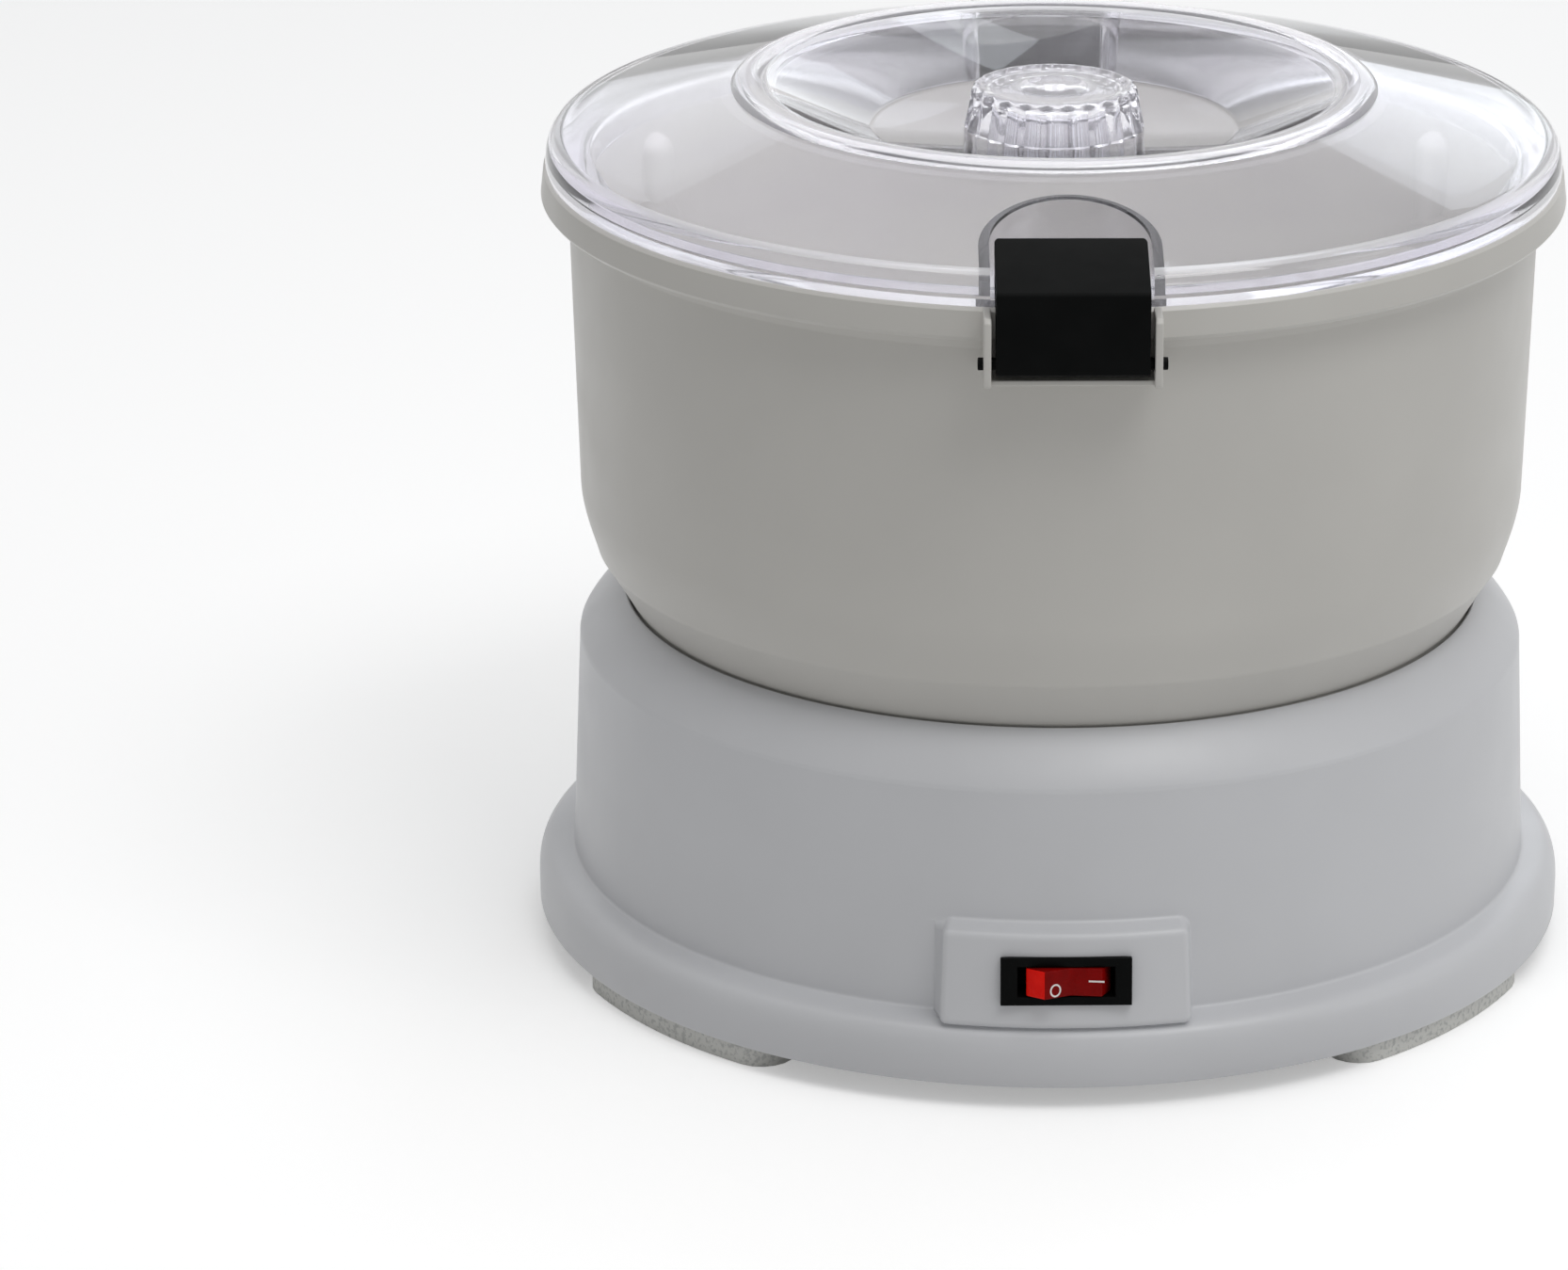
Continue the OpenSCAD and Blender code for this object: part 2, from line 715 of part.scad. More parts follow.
bowl_inside = concat(
    [[bowl_in_r, bowl_top], [bowl_in_r, flange_low - 5]],
    reversed(curve([98, bowl_floor], [106.5, bowl_floor + 0.5],
        [bowl_wall_low_r - bowl_t - 3.1, bowl_floor + 11],
        [bowl_wall_low_r - bowl_t, bowl_bend_z], 10)),
    [[tube_out_r, bowl_floor], [tube_out_r, tube_top], [tube_in_r, tube_top],
        [tube_in_r, bowl_floor - bowl_t], [bowl_foot_in_r, bowl_floor - bowl_t]]);

// Cradle for one latch: two ears, and a shelf below them, facing -Y
module latch_cradle() {
    for (s = [-1, 1]) translate([s * (ear_in + ear_t / 2), 0, 0])
        front_block(concat([[119, shelf_z], [ear_u - 2, shelf_z]],
            arc([ear_u - 2, shelf_z + 2], 2, -90, 0, 4),
            [[ear_u, bowl_top - 1], [ear_u - 1, bowl_top], [119, bowl_top]]), ear_t);
    front_block([[119, shelf_z], [pivot_u - 0.3, shelf_z], [pivot_u - 0.3, shelf_z + shelf_t],
        [119, shelf_z + shelf_t]], 2 * ear_in + eps);
}

module bowl_shell() {
    color(body_grey) difference() {
        union() {
            rotate_extrude($fn = 180) polygon(concat(bowl_outside, bowl_inside));
            for (turn = [0, 180]) rotate(turn) difference() {
                latch_cradle();
                translate([0, 0, shelf_z - 1]) cylinder(h = 30, r = bowl_in_r + 1);
            }
            // tumbling ribs
            for (i = [0:ribs - 1]) rotate(30 + 360 * i / ribs) intersection() {
                translate([bowl_in_r + 1, 0, rib_low]) union() {
                    cylinder(h = rib_l, r = rib_r, $fn = 32);
                    sphere(r = rib_r, $fn = 32);
                    translate([0, 0, rib_l]) sphere(r = rib_r, $fn = 32);
                }
                cylinder(h = bowl_top, r = bowl_wall_low_r - 0.3);
            }
        }
        // notches over the base's lugs
        for (a = key_angles) rotate(a)
            translate([bowl_foot_in_r - 1, -key_w / 2 - 0.6, deck_z - 1])
                cube([10, key_w + 1.2, key_h + 1.5]);
        for (turn = [0, 180]) rotate(turn) translate([-30, -pivot_u, pivot_z])
            rotate([0, 90, 0]) cylinder(h = 60, r = pin_r);
    }
}

module latch_pin() {
    translate([-ear_in - ear_t - 1.3, -pivot_u, pivot_z]) rotate([0, 90, 0])
        cylinder(h = 2 * (ear_in + ear_t + 1.3), r = pin_r);
}

module front_latch_pin() {
    color(black) latch_pin();
}

module rear_latch_pin() {
    color(black) rotate(180) latch_pin();
}

// ---------- peeling disc ----------

module peeling_disc() {
    color("#c6c6c4") difference() {
        union() {
            rotate_extrude() polygon(concat(
                [[hub_r - 3, disc_low], [disc_r, disc_low], [disc_r, disc_low + disc_t + 1.8]],
                [[disc_r - 2.5, disc_low + disc_t + 1.8], [disc_r - 4.5, disc_low + disc_t]],
                [[hub_r + 3, disc_low + disc_t]],
                curve([hub_r + 3, disc_low + disc_t], [hub_r + 0.5, disc_low + disc_t + 1],
                    [hub_r, disc_low + disc_t + 4], [hub_r, disc_low + disc_t + 9], 5),
                curve([hub_r, hub_top - 6], [hub_r, hub_top - 2], [hub_r - 4, hub_top],
                    [hub_r - 10, hub_top], 6),
                [[0, hub_top], [0, hub_top - 3], [insert_r, hub_top - 3], [insert_r, disc_low + 5],
                    [boss_r, disc_low + 5], [boss_r, hub_top - 3], [hub_r - 3, hub_top - 3]]));
            // tossing humps
            for (i = [0:blades - 1]) rotate(360 * i / blades) translate([36, 0, disc_low - 2]) {
                rotate([0, 90, 0]) cylinder(h = 56, r = 9, $fn = 64);
                sphere(r = 9, $fn = 64);
                translate([56, 0, 0]) sphere(r = 9, $fn = 64);
            }
        }
        translate([0, 0, disc_low - 20]) cylinder(h = 20, r = disc_r + 5);
        for (i = [0:blades - 1]) rotate(360 * (i + 0.5) / blades) for (x = blade_screw_u)
            translate([x, 0, disc_low - 1]) cylinder(h = 8, r = 1.5);
    }
}

module hub_insert() {
    color(steel) translate([0, 0, disc_low + 5]) difference() {
        cylinder(h = hub_top - disc_low - 8, r = insert_r);
        translate([0, 0, -1])
            cylinder(h = hub_top - disc_low, r = (hex_across / 2 + 0.15) / cos(30), $fn = 6);
    }
}

// Places children at every raised cutting eye of one blade plate
module at_eyes(z) {
    for (x = [0:4]) for (y = [-1, 1]) translate([blade_mid_u - 18.5 + 9.25 * x, 5 * y, z]) children();
}

module peeling_blades() {
    seat = disc_low + disc_t;
    color(steel) for (i = [0:blades - 1]) rotate(360 * (i + 0.5) / blades) difference() {
        union() {
            translate([blade_mid_u - blade_l / 2, -blade_w / 2, seat]) cube([blade_l, blade_w, blade_t]);
            at_eyes(seat + blade_t - eps) cylinder(h = 1.3, r1 = 2.7, r2 = 2.1, $fn = 24);
        }
        at_eyes(seat - 1) cylinder(h = 5, r = 1.6, $fn = 24);
        for (x = blade_screw_u) translate([x, 0, seat - 1]) cylinder(h = 3, r = 1.5);
    }
}

module blade_screws() {
    color(steel) for (i = [0:blades - 1]) rotate(360 * (i + 0.5) / blades) for (x = blade_screw_u)
        translate([x, 0, disc_low + disc_t + blade_t]) rotate([180, 0, 0]) screw(1.5, 3.8, 2.8, 1.2);
}

// ---------- lid ----------

lid_outside = concat(
    [[lid_r, bowl_top], [lid_r + 0.2, bowl_top + 1.2]],
    curve([lid_r + 0.1, bowl_top + 2.4], [lid_r - 0.2, bowl_top + 6], [lid_r - 1.4, bowl_top + 7.6],
        [skirt_r, bowl_top + skirt_h], 8),
    curve([ring_out_r, bowl_top + crown_h - 1.8], [ring_out_r - 1.6, bowl_top + crown_h + 0.6],
        [ring_in_r + 2.4, bowl_top + crown_h + 0.8], [ring_in_r, bowl_top + crown_h - 1.4], 10),
    [[dish_r + 1, dish_z + 0.5], [dish_r - 0.5, dish_z], [0, dish_z]]);

lid_inside = [[0, dish_z - lid_t], [dish_r - 1.4, dish_z - lid_t],
    [ring_in_r + 0.2, bowl_top + crown_h - 3.8], [ring_in_r + 3, bowl_top + crown_h - 2.2],
    [ring_out_r - 3, bowl_top + crown_h - 2.6], [skirt_r - 0.9, bowl_top + skirt_h - lid_t],
    [skirt_r + 0.5, bowl_top + skirt_h - 4.4], [skirt_r + 0.6, bowl_top + 2],
    [spigot_r - 2.2, bowl_top + 2], [spigot_r - 2.2, bowl_top - spigot_h]];

// Plan of a latch pocket: straight sides and a round inner end, facing -Y
module pocket_plan(inset) {
    translate([0, -pocket_u]) circle(r = pocket_r - inset);
    translate([-pocket_r + inset, -150]) square([2 * (pocket_r - inset), 150 - pocket_u]);
}

module lid_shell() {
    color(clear_lilac) difference() {
        union() {
            difference() {
                rotate_extrude($fn = 180) polygon(concat(
                    [[spigot_r, bowl_top - spigot_h], [spigot_r, bowl_top]], lid_outside, lid_inside));
                for (turn = [0, 180]) rotate(turn) translate([0, 0, bowl_top + 1])
                    linear_extrude(40) pocket_plan(1);
            }
            for (turn = [0, 180]) rotate(turn) intersection() {
                rotate_extrude($fn = 180) polygon(concat(lid_outside, [[0, bowl_top]]));
                difference() {
                    translate([0, 0, bowl_top]) linear_extrude(40) pocket_plan(0);
                    translate([0, 0, bowl_top + 2]) linear_extrude(40) pocket_plan(pocket_wall);
                }
            }
        }
        // the latch hooks over this shortened edge
        for (turn = [0, 180]) rotate(turn) translate([-pocket_r + pocket_wall, -lip_u - 10, bowl_top - 1])
            cube([2 * (pocket_r - pocket_wall), 10, 20]);
    }
}

function knob_outline(r) = [for (i = [0:flutes * 6 - 1]) let (a = 60 * i / flutes)
    polar(r + 0.75 * abs(cos(a * flutes / 2)) - 0.4, a)];

module lid_knob() {
    color(clear_lilac) translate([0, 0, dish_z]) difference() {
        union() {
            linear_extrude(knob_h - 1.2, scale = knob_top_r / knob_low_r) polygon(knob_outline(knob_low_r));
            translate([0, 0, knob_h - 1.2]) linear_extrude(1.2, scale = 0.95)
                polygon(knob_outline(knob_top_r));
        }
        translate([0, 0, -1]) cylinder(h = knob_h - knob_t + 1, r1 = knob_low_r - knob_t,
            r2 = knob_top_r - knob_t);
    }
}

// ---------- latches ----------

module latch() {
    slope = (latch_tip_z - latch_crease_z) / (latch_face_u - latch_tip_u);
    under = latch_t * 1.05;
    web_u = latch_face_u - latch_t - 3;
    profile = concat(
        [[latch_face_u - 0.6, pivot_z - 2.5], [latch_face_u, pivot_z - 1.9]],
        arc([latch_face_u - 1.5, latch_crease_z - 1.1], 1.5, 0, 74, 5),
        [[latch_tip_u + 0.8, latch_tip_z], [latch_tip_u, latch_tip_z - 0.9],
            [latch_tip_u + 0.3, latch_tip_z - under],
            [web_u, latch_tip_z - under - slope * (web_u - latch_tip_u)],
            [hook_tip_u + 1, hook_z + 2.4], [hook_tip_u, hook_z + 1.6], [hook_tip_u + 0.4, hook_z],
            [latch_face_u - latch_t, hook_z], [latch_face_u - latch_t, pivot_z]],
        arc([pivot_u, pivot_z], 2.9, 100, 240, 8),
        [[pivot_u, pivot_z - 2.9]]);
    difference() {
        union() {
            front_block(profile, latch_w);
            // gussets between the hook and the top plate
            for (x = [-12, 0, 12]) translate([x, 0, 0]) front_block([[hook_tip_u + 1, hook_z + 1],
                [latch_face_u - 4, hook_z + 1], [latch_face_u - 4, latch_crease_z - 1],
                [hook_tip_u + 1, latch_crease_z + 1.6]], 2);
        }
        translate([-latch_w, -pivot_u, pivot_z]) rotate([0, 90, 0])
            cylinder(h = 2 * latch_w, r = pin_r + run_gap);
        // rounded corners of the top plate
        for (s = [-1, 1]) translate([s * (latch_w / 2 - 3), -latch_tip_u - 3, hook_z + 4]) difference() {
            translate([s > 0 ? 0 : -4, 0, 0]) cube([4, 4, 20]);
            translate([0, 0, -1]) cylinder(h = 22, r = 3);
        }
    }
}

module front_latch() {
    color(black) latch();
}

module rear_latch() {
    color(black) rotate(180) latch();
}

base_housing();
base_plate();
base_screws();
feet();
switch_body();
switch_terminals();
cord_gland();
terminal_block();
power_board();
motor_can();
motor_magnets();
motor_end_cap();
motor_brushes();
motor_screws();
gearbox_case();
gearbox_cover();
gearbox_screws();
lower_bush();
upper_bush();
shaft_seal();
idler_axle();
rocker_button();
rotor_core();
rotor_windings();
commutator();
motor_shaft();
motor_pinion();
idler_gear();
drive_shaft();
output_gear();
thrust_washer();
drive_circlip();
bowl_shell();
front_latch_pin();
rear_latch_pin();
peeling_disc();
hub_insert();
peeling_blades();
blade_screws();
lid_shell();
lid_knob();
front_latch();
rear_latch();
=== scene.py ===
"""Looks of an electric potato peeler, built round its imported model: finishes, clear lid, blades and stage."""

import json
import math

import bmesh
import bpy
from bpy.props import FloatProperty, FloatVectorProperty, IntProperty, PointerProperty
from mathutils import Matrix, Vector


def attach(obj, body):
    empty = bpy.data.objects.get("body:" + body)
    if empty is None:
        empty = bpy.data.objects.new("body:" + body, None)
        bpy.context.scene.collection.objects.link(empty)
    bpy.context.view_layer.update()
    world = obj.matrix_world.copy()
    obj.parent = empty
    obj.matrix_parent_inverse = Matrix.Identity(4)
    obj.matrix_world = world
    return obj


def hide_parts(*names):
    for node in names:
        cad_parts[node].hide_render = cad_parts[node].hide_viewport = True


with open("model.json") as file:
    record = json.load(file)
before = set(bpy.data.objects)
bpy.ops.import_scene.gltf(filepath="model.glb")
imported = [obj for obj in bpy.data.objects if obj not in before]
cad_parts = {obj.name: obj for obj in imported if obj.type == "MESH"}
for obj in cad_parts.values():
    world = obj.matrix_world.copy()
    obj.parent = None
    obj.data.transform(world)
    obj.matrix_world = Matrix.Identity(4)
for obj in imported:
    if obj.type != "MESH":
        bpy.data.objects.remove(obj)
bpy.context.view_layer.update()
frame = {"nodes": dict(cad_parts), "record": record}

bl_info = {
    "name": "Potato Peeler Looks",
    "version": (1, 0, 0),
    "blender": (4, 5, 0),
    "location": "View3D > Sidebar > Peeler",
    "description": "Finishes, clear lid, fluted knob, blades and stage for an electric potato peeler",
    "category": "Object",
}

MM = 0.001
PHOTO_W = 1666  # width in pixels of the photograph that the camera matches
LIT_POINT = (0, 0, 0.21)  # middle of the lid in metres, which the lamps face

# Sizes in millimetres that several pieces share; heights are above the floor.
PAD_RADIUS = 127.7  # distance of the switch pad's face from the axis
PAD_SLOPE = 3.8 / 24.6  # how far that face leans back for each millimetre of height
PAD_HEIGHT = 32.3  # middle of the pad
SWITCH_HEIGHT = 32.7  # middle of the switch
LID_SEAT = 200.36  # underside of the lid's rim, just off the bowl's flange
POCKET_FLOOR = 202.3  # floor of a latch pocket in the lid
POCKET_RADIUS = 21.4  # round inner end of a pocket
POCKET_CENTRE = -109.4  # where that round end has its centre, at the front
ROCKER_VALLEY = 5.2  # how far the rocker's valley stands out of its pivot


# ---------------------------------------------------------------- small tools


def linear(hex_colour):
    """An sRGB hex colour as linear red, green, blue and alpha."""
    values = []
    for i in (1, 3, 5):
        c = int(hex_colour[i : i + 2], 16) / 255
        values.append(c / 12.92 if c <= 0.04045 else ((c + 0.055) / 1.055) ** 2.4)
    return (*values, 1.0)


def add_node(tree, kind, inputs=None, **settings):
    """A node with its settings; an input is a value, an output socket, or a node for its first output."""
    node = tree.nodes.new(kind)
    for name, value in settings.items():
        setattr(node, name, value)
    for key, value in (inputs or {}).items():
        if isinstance(value, bpy.types.Node):
            value = value.outputs[0]
        if isinstance(value, bpy.types.NodeSocket):
            tree.links.new(value, node.inputs[key])
        else:
            node.inputs[key].default_value = value
    return node


def calc(tree, operation, *values):
    return add_node(tree, "ShaderNodeMath", dict(enumerate(values)), operation=operation)


def new_material(name):
    """An empty node material and its tree."""
    material = bpy.data.materials.new(name)
    material.use_nodes = True
    material.node_tree.nodes.clear()
    return material, material.node_tree


def closed(material, shader):
    """The material with a shader as its surface."""
    add_node(material.node_tree, "ShaderNodeOutputMaterial", {"Surface": shader})
    return material


def principled(material, inputs):
    """The material with one principled shader of these inputs."""
    return closed(material, add_node(material.node_tree, "ShaderNodeBsdfPrincipled", inputs))


def object_position(tree):
    return add_node(tree, "ShaderNodeTexCoord").outputs["Object"]


def noise(tree, position, per_metre, detail, roughness=0.5):
    """Noise in patches about 1/per_metre apart."""
    inputs = {"Vector": position, "Scale": per_metre, "Detail": detail, "Roughness": roughness}
    return add_node(tree, "ShaderNodeTexNoise", inputs)


def two_tones(tree, share, dark, light, low=0.35, high=0.65):
    """The dark tone where share is at most low, the light one where it is at least high, blended between."""
    ramp = add_node(tree, "ShaderNodeValToRGB", {"Fac": share})
    for element, place, colour in zip(ramp.color_ramp.elements, (low, high), (dark, light)):
        element.position = place
        element.color = colour
    return ramp


def mottled(tree, position, dark, light, per_metre):
    """A colour that drifts softly between two tones, with patches about 1/per_metre apart."""
    return two_tones(tree, noise(tree, position, per_metre, 3.0), dark, light)


def spread(tree, position, low, high, per_metre):
    """A number that drifts between low and high over the surface."""
    share = noise(tree, position, per_metre, 2.0, 0.55)
    inputs = {"Value": share, "From Min": 0.3, "From Max": 0.7, "To Min": low, "To Max": high}
    return add_node(tree, "ShaderNodeMapRange", inputs)


def bump(tree, height, depth_mm, strength):
    inputs = {"Height": height, "Strength": strength, "Distance": depth_mm * MM}
    return add_node(tree, "ShaderNodeBump", inputs)


def grain_bump(tree, position, per_metre, depth_mm, strength):
    """The fine bump of a moulded or cast surface: grains 1/per_metre apart, depth_mm deep."""
    return bump(tree, noise(tree, position, per_metre, 4.0, 0.6), depth_mm, strength)


# ------------------------------------------------------------------ materials


def moulded_abs(name, colour):
    """Injection-moulded ABS: an even colour, satin, with a barely visible spark-eroded grain."""
    material, tree = new_material(name)
    where = object_position(tree)
    red, green, blue = (0.946 * share for share in colour[:3])
    return principled(material, {
        "Base Color": mottled(tree, where, (red, green, blue, 1.0), (*colour[:3], 1.0), 14),
        "Roughness": spread(tree, where, 0.34, 0.42, 60),
        "Normal": grain_bump(tree, where, 1600, 0.04, 0.12),
        "IOR": 1.53,
    })


def plain_moulding(name, dark, light, rough, gloss=0.5, grain_mm=0.05):
    """A moulded plastic or rubber: two close tones, uneven gloss and a fine grain."""
    material, tree = new_material(name)
    where = object_position(tree)
    return principled(material, {
        "Base Color": mottled(tree, where, linear(dark), linear(light), 120),
        "Roughness": spread(tree, where, rough - 0.05, rough + 0.05, 200),
        "Normal": grain_bump(tree, where, 2200, grain_mm, 0.2),
        "Specular IOR Level": gloss,
    })


def speckled_rubber():
    """Thermoplastic rubber with pale filler: light grey with darker and lighter specks of about 1 mm."""
    material, tree = new_material("speckled_rubber")
    where = object_position(tree)
    specks = noise(tree, where, 900.0, 2.0)
    return principled(material, {
        "Base Color": two_tones(tree, specks, linear("#bcbdba"), linear("#d8d8d4"), 0.36, 0.5),
        "Roughness": spread(tree, where, 0.6, 0.75, 150),
        "Normal": grain_bump(tree, where, 900, 0.08, 0.4),
    })


def clear_styrene():
    """Clear styrene-acrylonitrile: glassy and faintly lilac, with a painted highlight on the lid's thin edges.

    The attribute edge, from 0 to 1, is how much painted highlight a face gets: the face is less clear and shows
    more of its pale base colour.
    """
    material, tree = new_material("clear_styrene")
    where = object_position(tree)
    edge = add_node(tree, "ShaderNodeAttribute", attribute_name="edge").outputs["Fac"]
    surface = {
        "Base Color": mottled(tree, where, linear("#f5f4fa"), linear("#fafafd"), 20),
        "Roughness": spread(tree, where, 0.02, 0.05, 40),
        "IOR": 1.56,
        # Painted highlight: faces marked by the attribute edge are made less clear, so their pale base colour
        # shows.
        "Transmission Weight": add_node(
            tree, "ShaderNodeMapRange", {"Value": edge, "To Min": 1.0, "To Max": 0.35}
        ),
        "Normal": grain_bump(tree, where, 30, 0.15, 0.04),
    }
    glass = add_node(tree, "ShaderNodeBsdfPrincipled", surface)
    window = add_node(tree, "ShaderNodeBsdfTransparent", {"Color": linear("#f7f6fa")})
    shadow = add_node(tree, "ShaderNodeLightPath").outputs["Is Shadow Ray"]
    return closed(material, add_node(tree, "ShaderNodeMixShader", {0: shadow, 1: glass, 2: window}))


def red_polycarbonate():
    """Translucent red of the rocker: deep red, with a painted highlight of brighter red on the end face that
    the attribute edge marks.
    """
    material, tree = new_material("red_polycarbonate")
    where = object_position(tree)
    edge = add_node(tree, "ShaderNodeAttribute", attribute_name="edge").outputs["Fac"]
    deep = mottled(tree, where, linear("#760504"), linear("#840706"), 260)
    # Painted highlight: this brighter red stands for light on the marked end face.
    painted_highlight_red = mottled(tree, where, linear("#ec150c"), linear("#f51d12"), 260)
    return principled(material, {
        "Base Color": add_node(tree, "ShaderNodeMixRGB", {"Fac": edge, "Color1": deep, "Color2": painted_highlight_red}),
        "Roughness": spread(tree, where, 0.22, 0.32, 300),
        "Normal": grain_bump(tree, where, 700, 0.03, 0.1),
        "Specular IOR Level": 0.06,
    })


def worked_metal(name, dark, light, rough, stretch=(1.0, 1.0, 24.0)):
    """A bare metal with fine tool marks drawn out across the stretched axis."""
    material, tree = new_material(name)
    where = object_position(tree)
    drawn_out = add_node(tree, "ShaderNodeMapping", {"Vector": where, "Scale": stretch})
    marks = noise(tree, drawn_out, 90.0, 5.0, 0.6)
    return principled(material, {
        "Base Color": two_tones(tree, marks, linear(dark), linear(light), 0.3, 0.7),
        "Metallic": 1.0,
        "Roughness": spread(tree, where, rough - 0.06, rough + 0.06, 120),
        "Normal": bump(tree, marks, 0.02, 0.15),
    })


# What makes each finish, with its name, tones and gloss: one for each slot of the record, and one for the
# printed marks on the rocker. The base and the bowl share a slot, and each has a colour of its own.
FINISHES = {
    "grey_abs": (moulded_abs, "moulded_abs", linear("#c8c8c9")),
    "underside_plastic": (plain_moulding, "moulded_polypropylene", "#8e8f8f", "#989999", 0.5),
    "foot_rubber": (speckled_rubber,),
    "black_plastic": (plain_moulding, "black_abs", "#070808", "#0b0c0c", 0.42, 0.04),
    "red_plastic": (red_polycarbonate,),
    "clear_plastic": (clear_styrene,),
    "steel": (worked_metal, "machined_steel", "#a2a5a8", "#c3c5c7", 0.34),
    "stainless": (worked_metal, "brushed_stainless", "#b3b5b7", "#d2d3d4", 0.28, (24.0, 1.0, 1.0)),
    "bronze": (worked_metal, "sintered_bronze", "#9c7a3c", "#c9a45c", 0.42, (1.0, 1.0, 1.0)),
    "copper": (worked_metal, "enamelled_copper", "#8f4a23", "#c07840", 0.3, (1.0, 1.0, 30.0)),
    "ferrite": (plain_moulding, "sintered_ferrite", "#2c2c2e", "#3c3c3f", 0.7),
    "acetal": (plain_moulding, "natural_acetal", "#e2dfd2", "#efece0", 0.38),
    "rubber": (plain_moulding, "nitrile_rubber", "#17171a", "#212124", 0.62),
    "board": (plain_moulding, "glass_epoxy", "#1f5234", "#2c6a44", 0.4),
    "disc_plastic": (plain_moulding, "disc_polypropylene", "#bdbdba", "#c7c7c4", 0.42),
    "white_ink": (plain_moulding, "white_ink", "#e6e2df", "#f4f1ee", 0.45, 0.5, 0.01),
}
MADE = {}


def finish(name):
    """The material of a finish, made once."""
    if name not in MADE:
        make, *inputs = FINISHES[name]
        MADE[name] = make(*inputs)
    return MADE[name]


# ------------------------------------------------------------------ mesh tools


def mm(points):
    return [tuple(c * MM for c in p) for p in points]


def mesh_from(points, faces, name="mesh"):
    """A mesh from points in millimetres."""
    mesh = bpy.data.meshes.new(name)
    mesh.from_pydata(mm(points), [], faces)
    return mesh


def temporary(mesh):
    obj = bpy.data.objects.new("temporary", mesh)
    bpy.context.scene.collection.objects.link(obj)
    return obj


def evaluated(obj, *others):
    """The object's mesh with its modifiers, as a plain mesh; the objects themselves are removed."""
    bpy.context.view_layer.update()
    source = obj.evaluated_get(bpy.context.evaluated_depsgraph_get())
    mesh = bpy.data.meshes.new_from_object(source)
    for used in (obj, *others):
        bpy.data.objects.remove(used)
    return mesh


def carved(mesh, *tools, operation="DIFFERENCE"):
    """The mesh with closed tools cut out of it, added to it, or kept only where they overlap."""
    obj = temporary(mesh)
    holders = [temporary(tool) for tool in tools]
    for holder in holders:
        modifier = obj.modifiers.new("carve", "BOOLEAN")
        modifier.solver = "EXACT"
        modifier.operation = operation
        modifier.object = holder
    return evaluated(obj, *holders)


def bevelled(mesh, width_mm, segments=3, angle=30):
    """The mesh with its sharp edges rounded."""
    obj = temporary(mesh)
    modifier = obj.modifiers.new("bevel", "BEVEL")
    modifier.width = width_mm * MM
    modifier.segments = segments
    modifier.limit_method = "ANGLE"
    modifier.angle_limit = math.radians(angle)
    modifier.miter_outer = "MITER_ARC"
    return evaluated(obj)


def cleaned(mesh, flat_angle=0.0):
    """A closed mesh without doubled points, facing outwards, with flat regions joined on request."""
    bm = bmesh.new()
    bm.from_mesh(mesh)
    bmesh.ops.remove_doubles(bm, verts=bm.verts, dist=0.002 * MM)
    bmesh.ops.dissolve_degenerate(bm, edges=bm.edges, dist=0.001 * MM)
    if flat_angle:
        bmesh.ops.dissolve_limit(bm, verts=bm.verts, edges=bm.edges, angle_limit=math.radians(flat_angle))
    bmesh.ops.recalc_face_normals(bm, faces=bm.faces)
    bm.to_mesh(mesh)
    bm.free()
    return mesh


def shaded(mesh, angle=32):
    """Smooth shading, with an edge left sharp where its faces meet at more than the angle."""
    limit = math.radians(angle)
    bm = bmesh.new()
    bm.from_mesh(mesh)
    for face in bm.faces:
        face.smooth = True
    for edge in bm.edges:
        edge.smooth = len(edge.link_faces) == 2 and edge.calc_face_angle(0) < limit
    bm.to_mesh(mesh)
    bm.free()
    return mesh


def joined(*meshes):
    """Several meshes as one, left overlapping where they touch."""
    bm = bmesh.new()
    for mesh in meshes:
        bm.from_mesh(mesh)
    result = bpy.data.meshes.new("joined")
    bm.to_mesh(result)
    bm.free()
    return result


def placed(mesh, matrix):
    copy = mesh.copy()
    copy.transform(matrix)
    return copy


def turned_half(mesh):
    return placed(mesh, Matrix.Rotation(math.pi, 4, "Z"))


def block(low, high):
    """A box between two corners in millimetres."""
    points = [(x, y, z) for x in (low[0], high[0]) for y in (low[1], high[1]) for z in (low[2], high[2])]
    faces = [(0, 1, 3, 2), (4, 6, 7, 5), (0, 4, 5, 1), (2, 3, 7, 6), (0, 2, 6, 4), (1, 5, 7, 3)]
    return cleaned(mesh_from(points, faces))


def prism(outline, low, high):
    """A closed outline of (x, y), raised from low to high."""
    n = len(outline)
    points = [(x, y, z) for z in (low, high) for x, y in outline]
    faces = [tuple(range(n)), tuple(range(n, 2 * n))]
    faces += [(i, (i + 1) % n, n + (i + 1) % n, n + i) for i in range(n)]
    return cleaned(mesh_from(points, faces))


def front_prism(outline, half_w, centre=0.0):
    """An outline of (distance from the axis, height) as a block facing -Y, 2 x half_w wide."""
    mesh = prism(outline, -half_w, half_w)
    turn = Matrix(((0, 0, 1, centre * MM), (-1, 0, 0, 0), (0, 1, 0, 0), (0, 0, 0, 1)))
    mesh.transform(turn)
    return cleaned(mesh)


def rod(start, end, radius, segments=64):
    """A round bar between two points in millimetres."""
    a, b = Vector(start), Vector(end)
    mesh = prism(arc(0, 0, radius, 0, 360, segments), 0, (b - a).length)
    mesh.transform(Matrix.Translation(a * MM) @ (b - a).to_track_quat("Z", "Y").to_matrix().to_4x4())
    return mesh


def arc(x, y, radius, start, end, steps):
    """Points of an arc about (x, y) between two angles in degrees, without the one at the end."""
    angles = [math.radians(start + (end - start) * k / steps) for k in range(steps)]
    return [(x + radius * math.cos(a), y + radius * math.sin(a)) for a in angles]


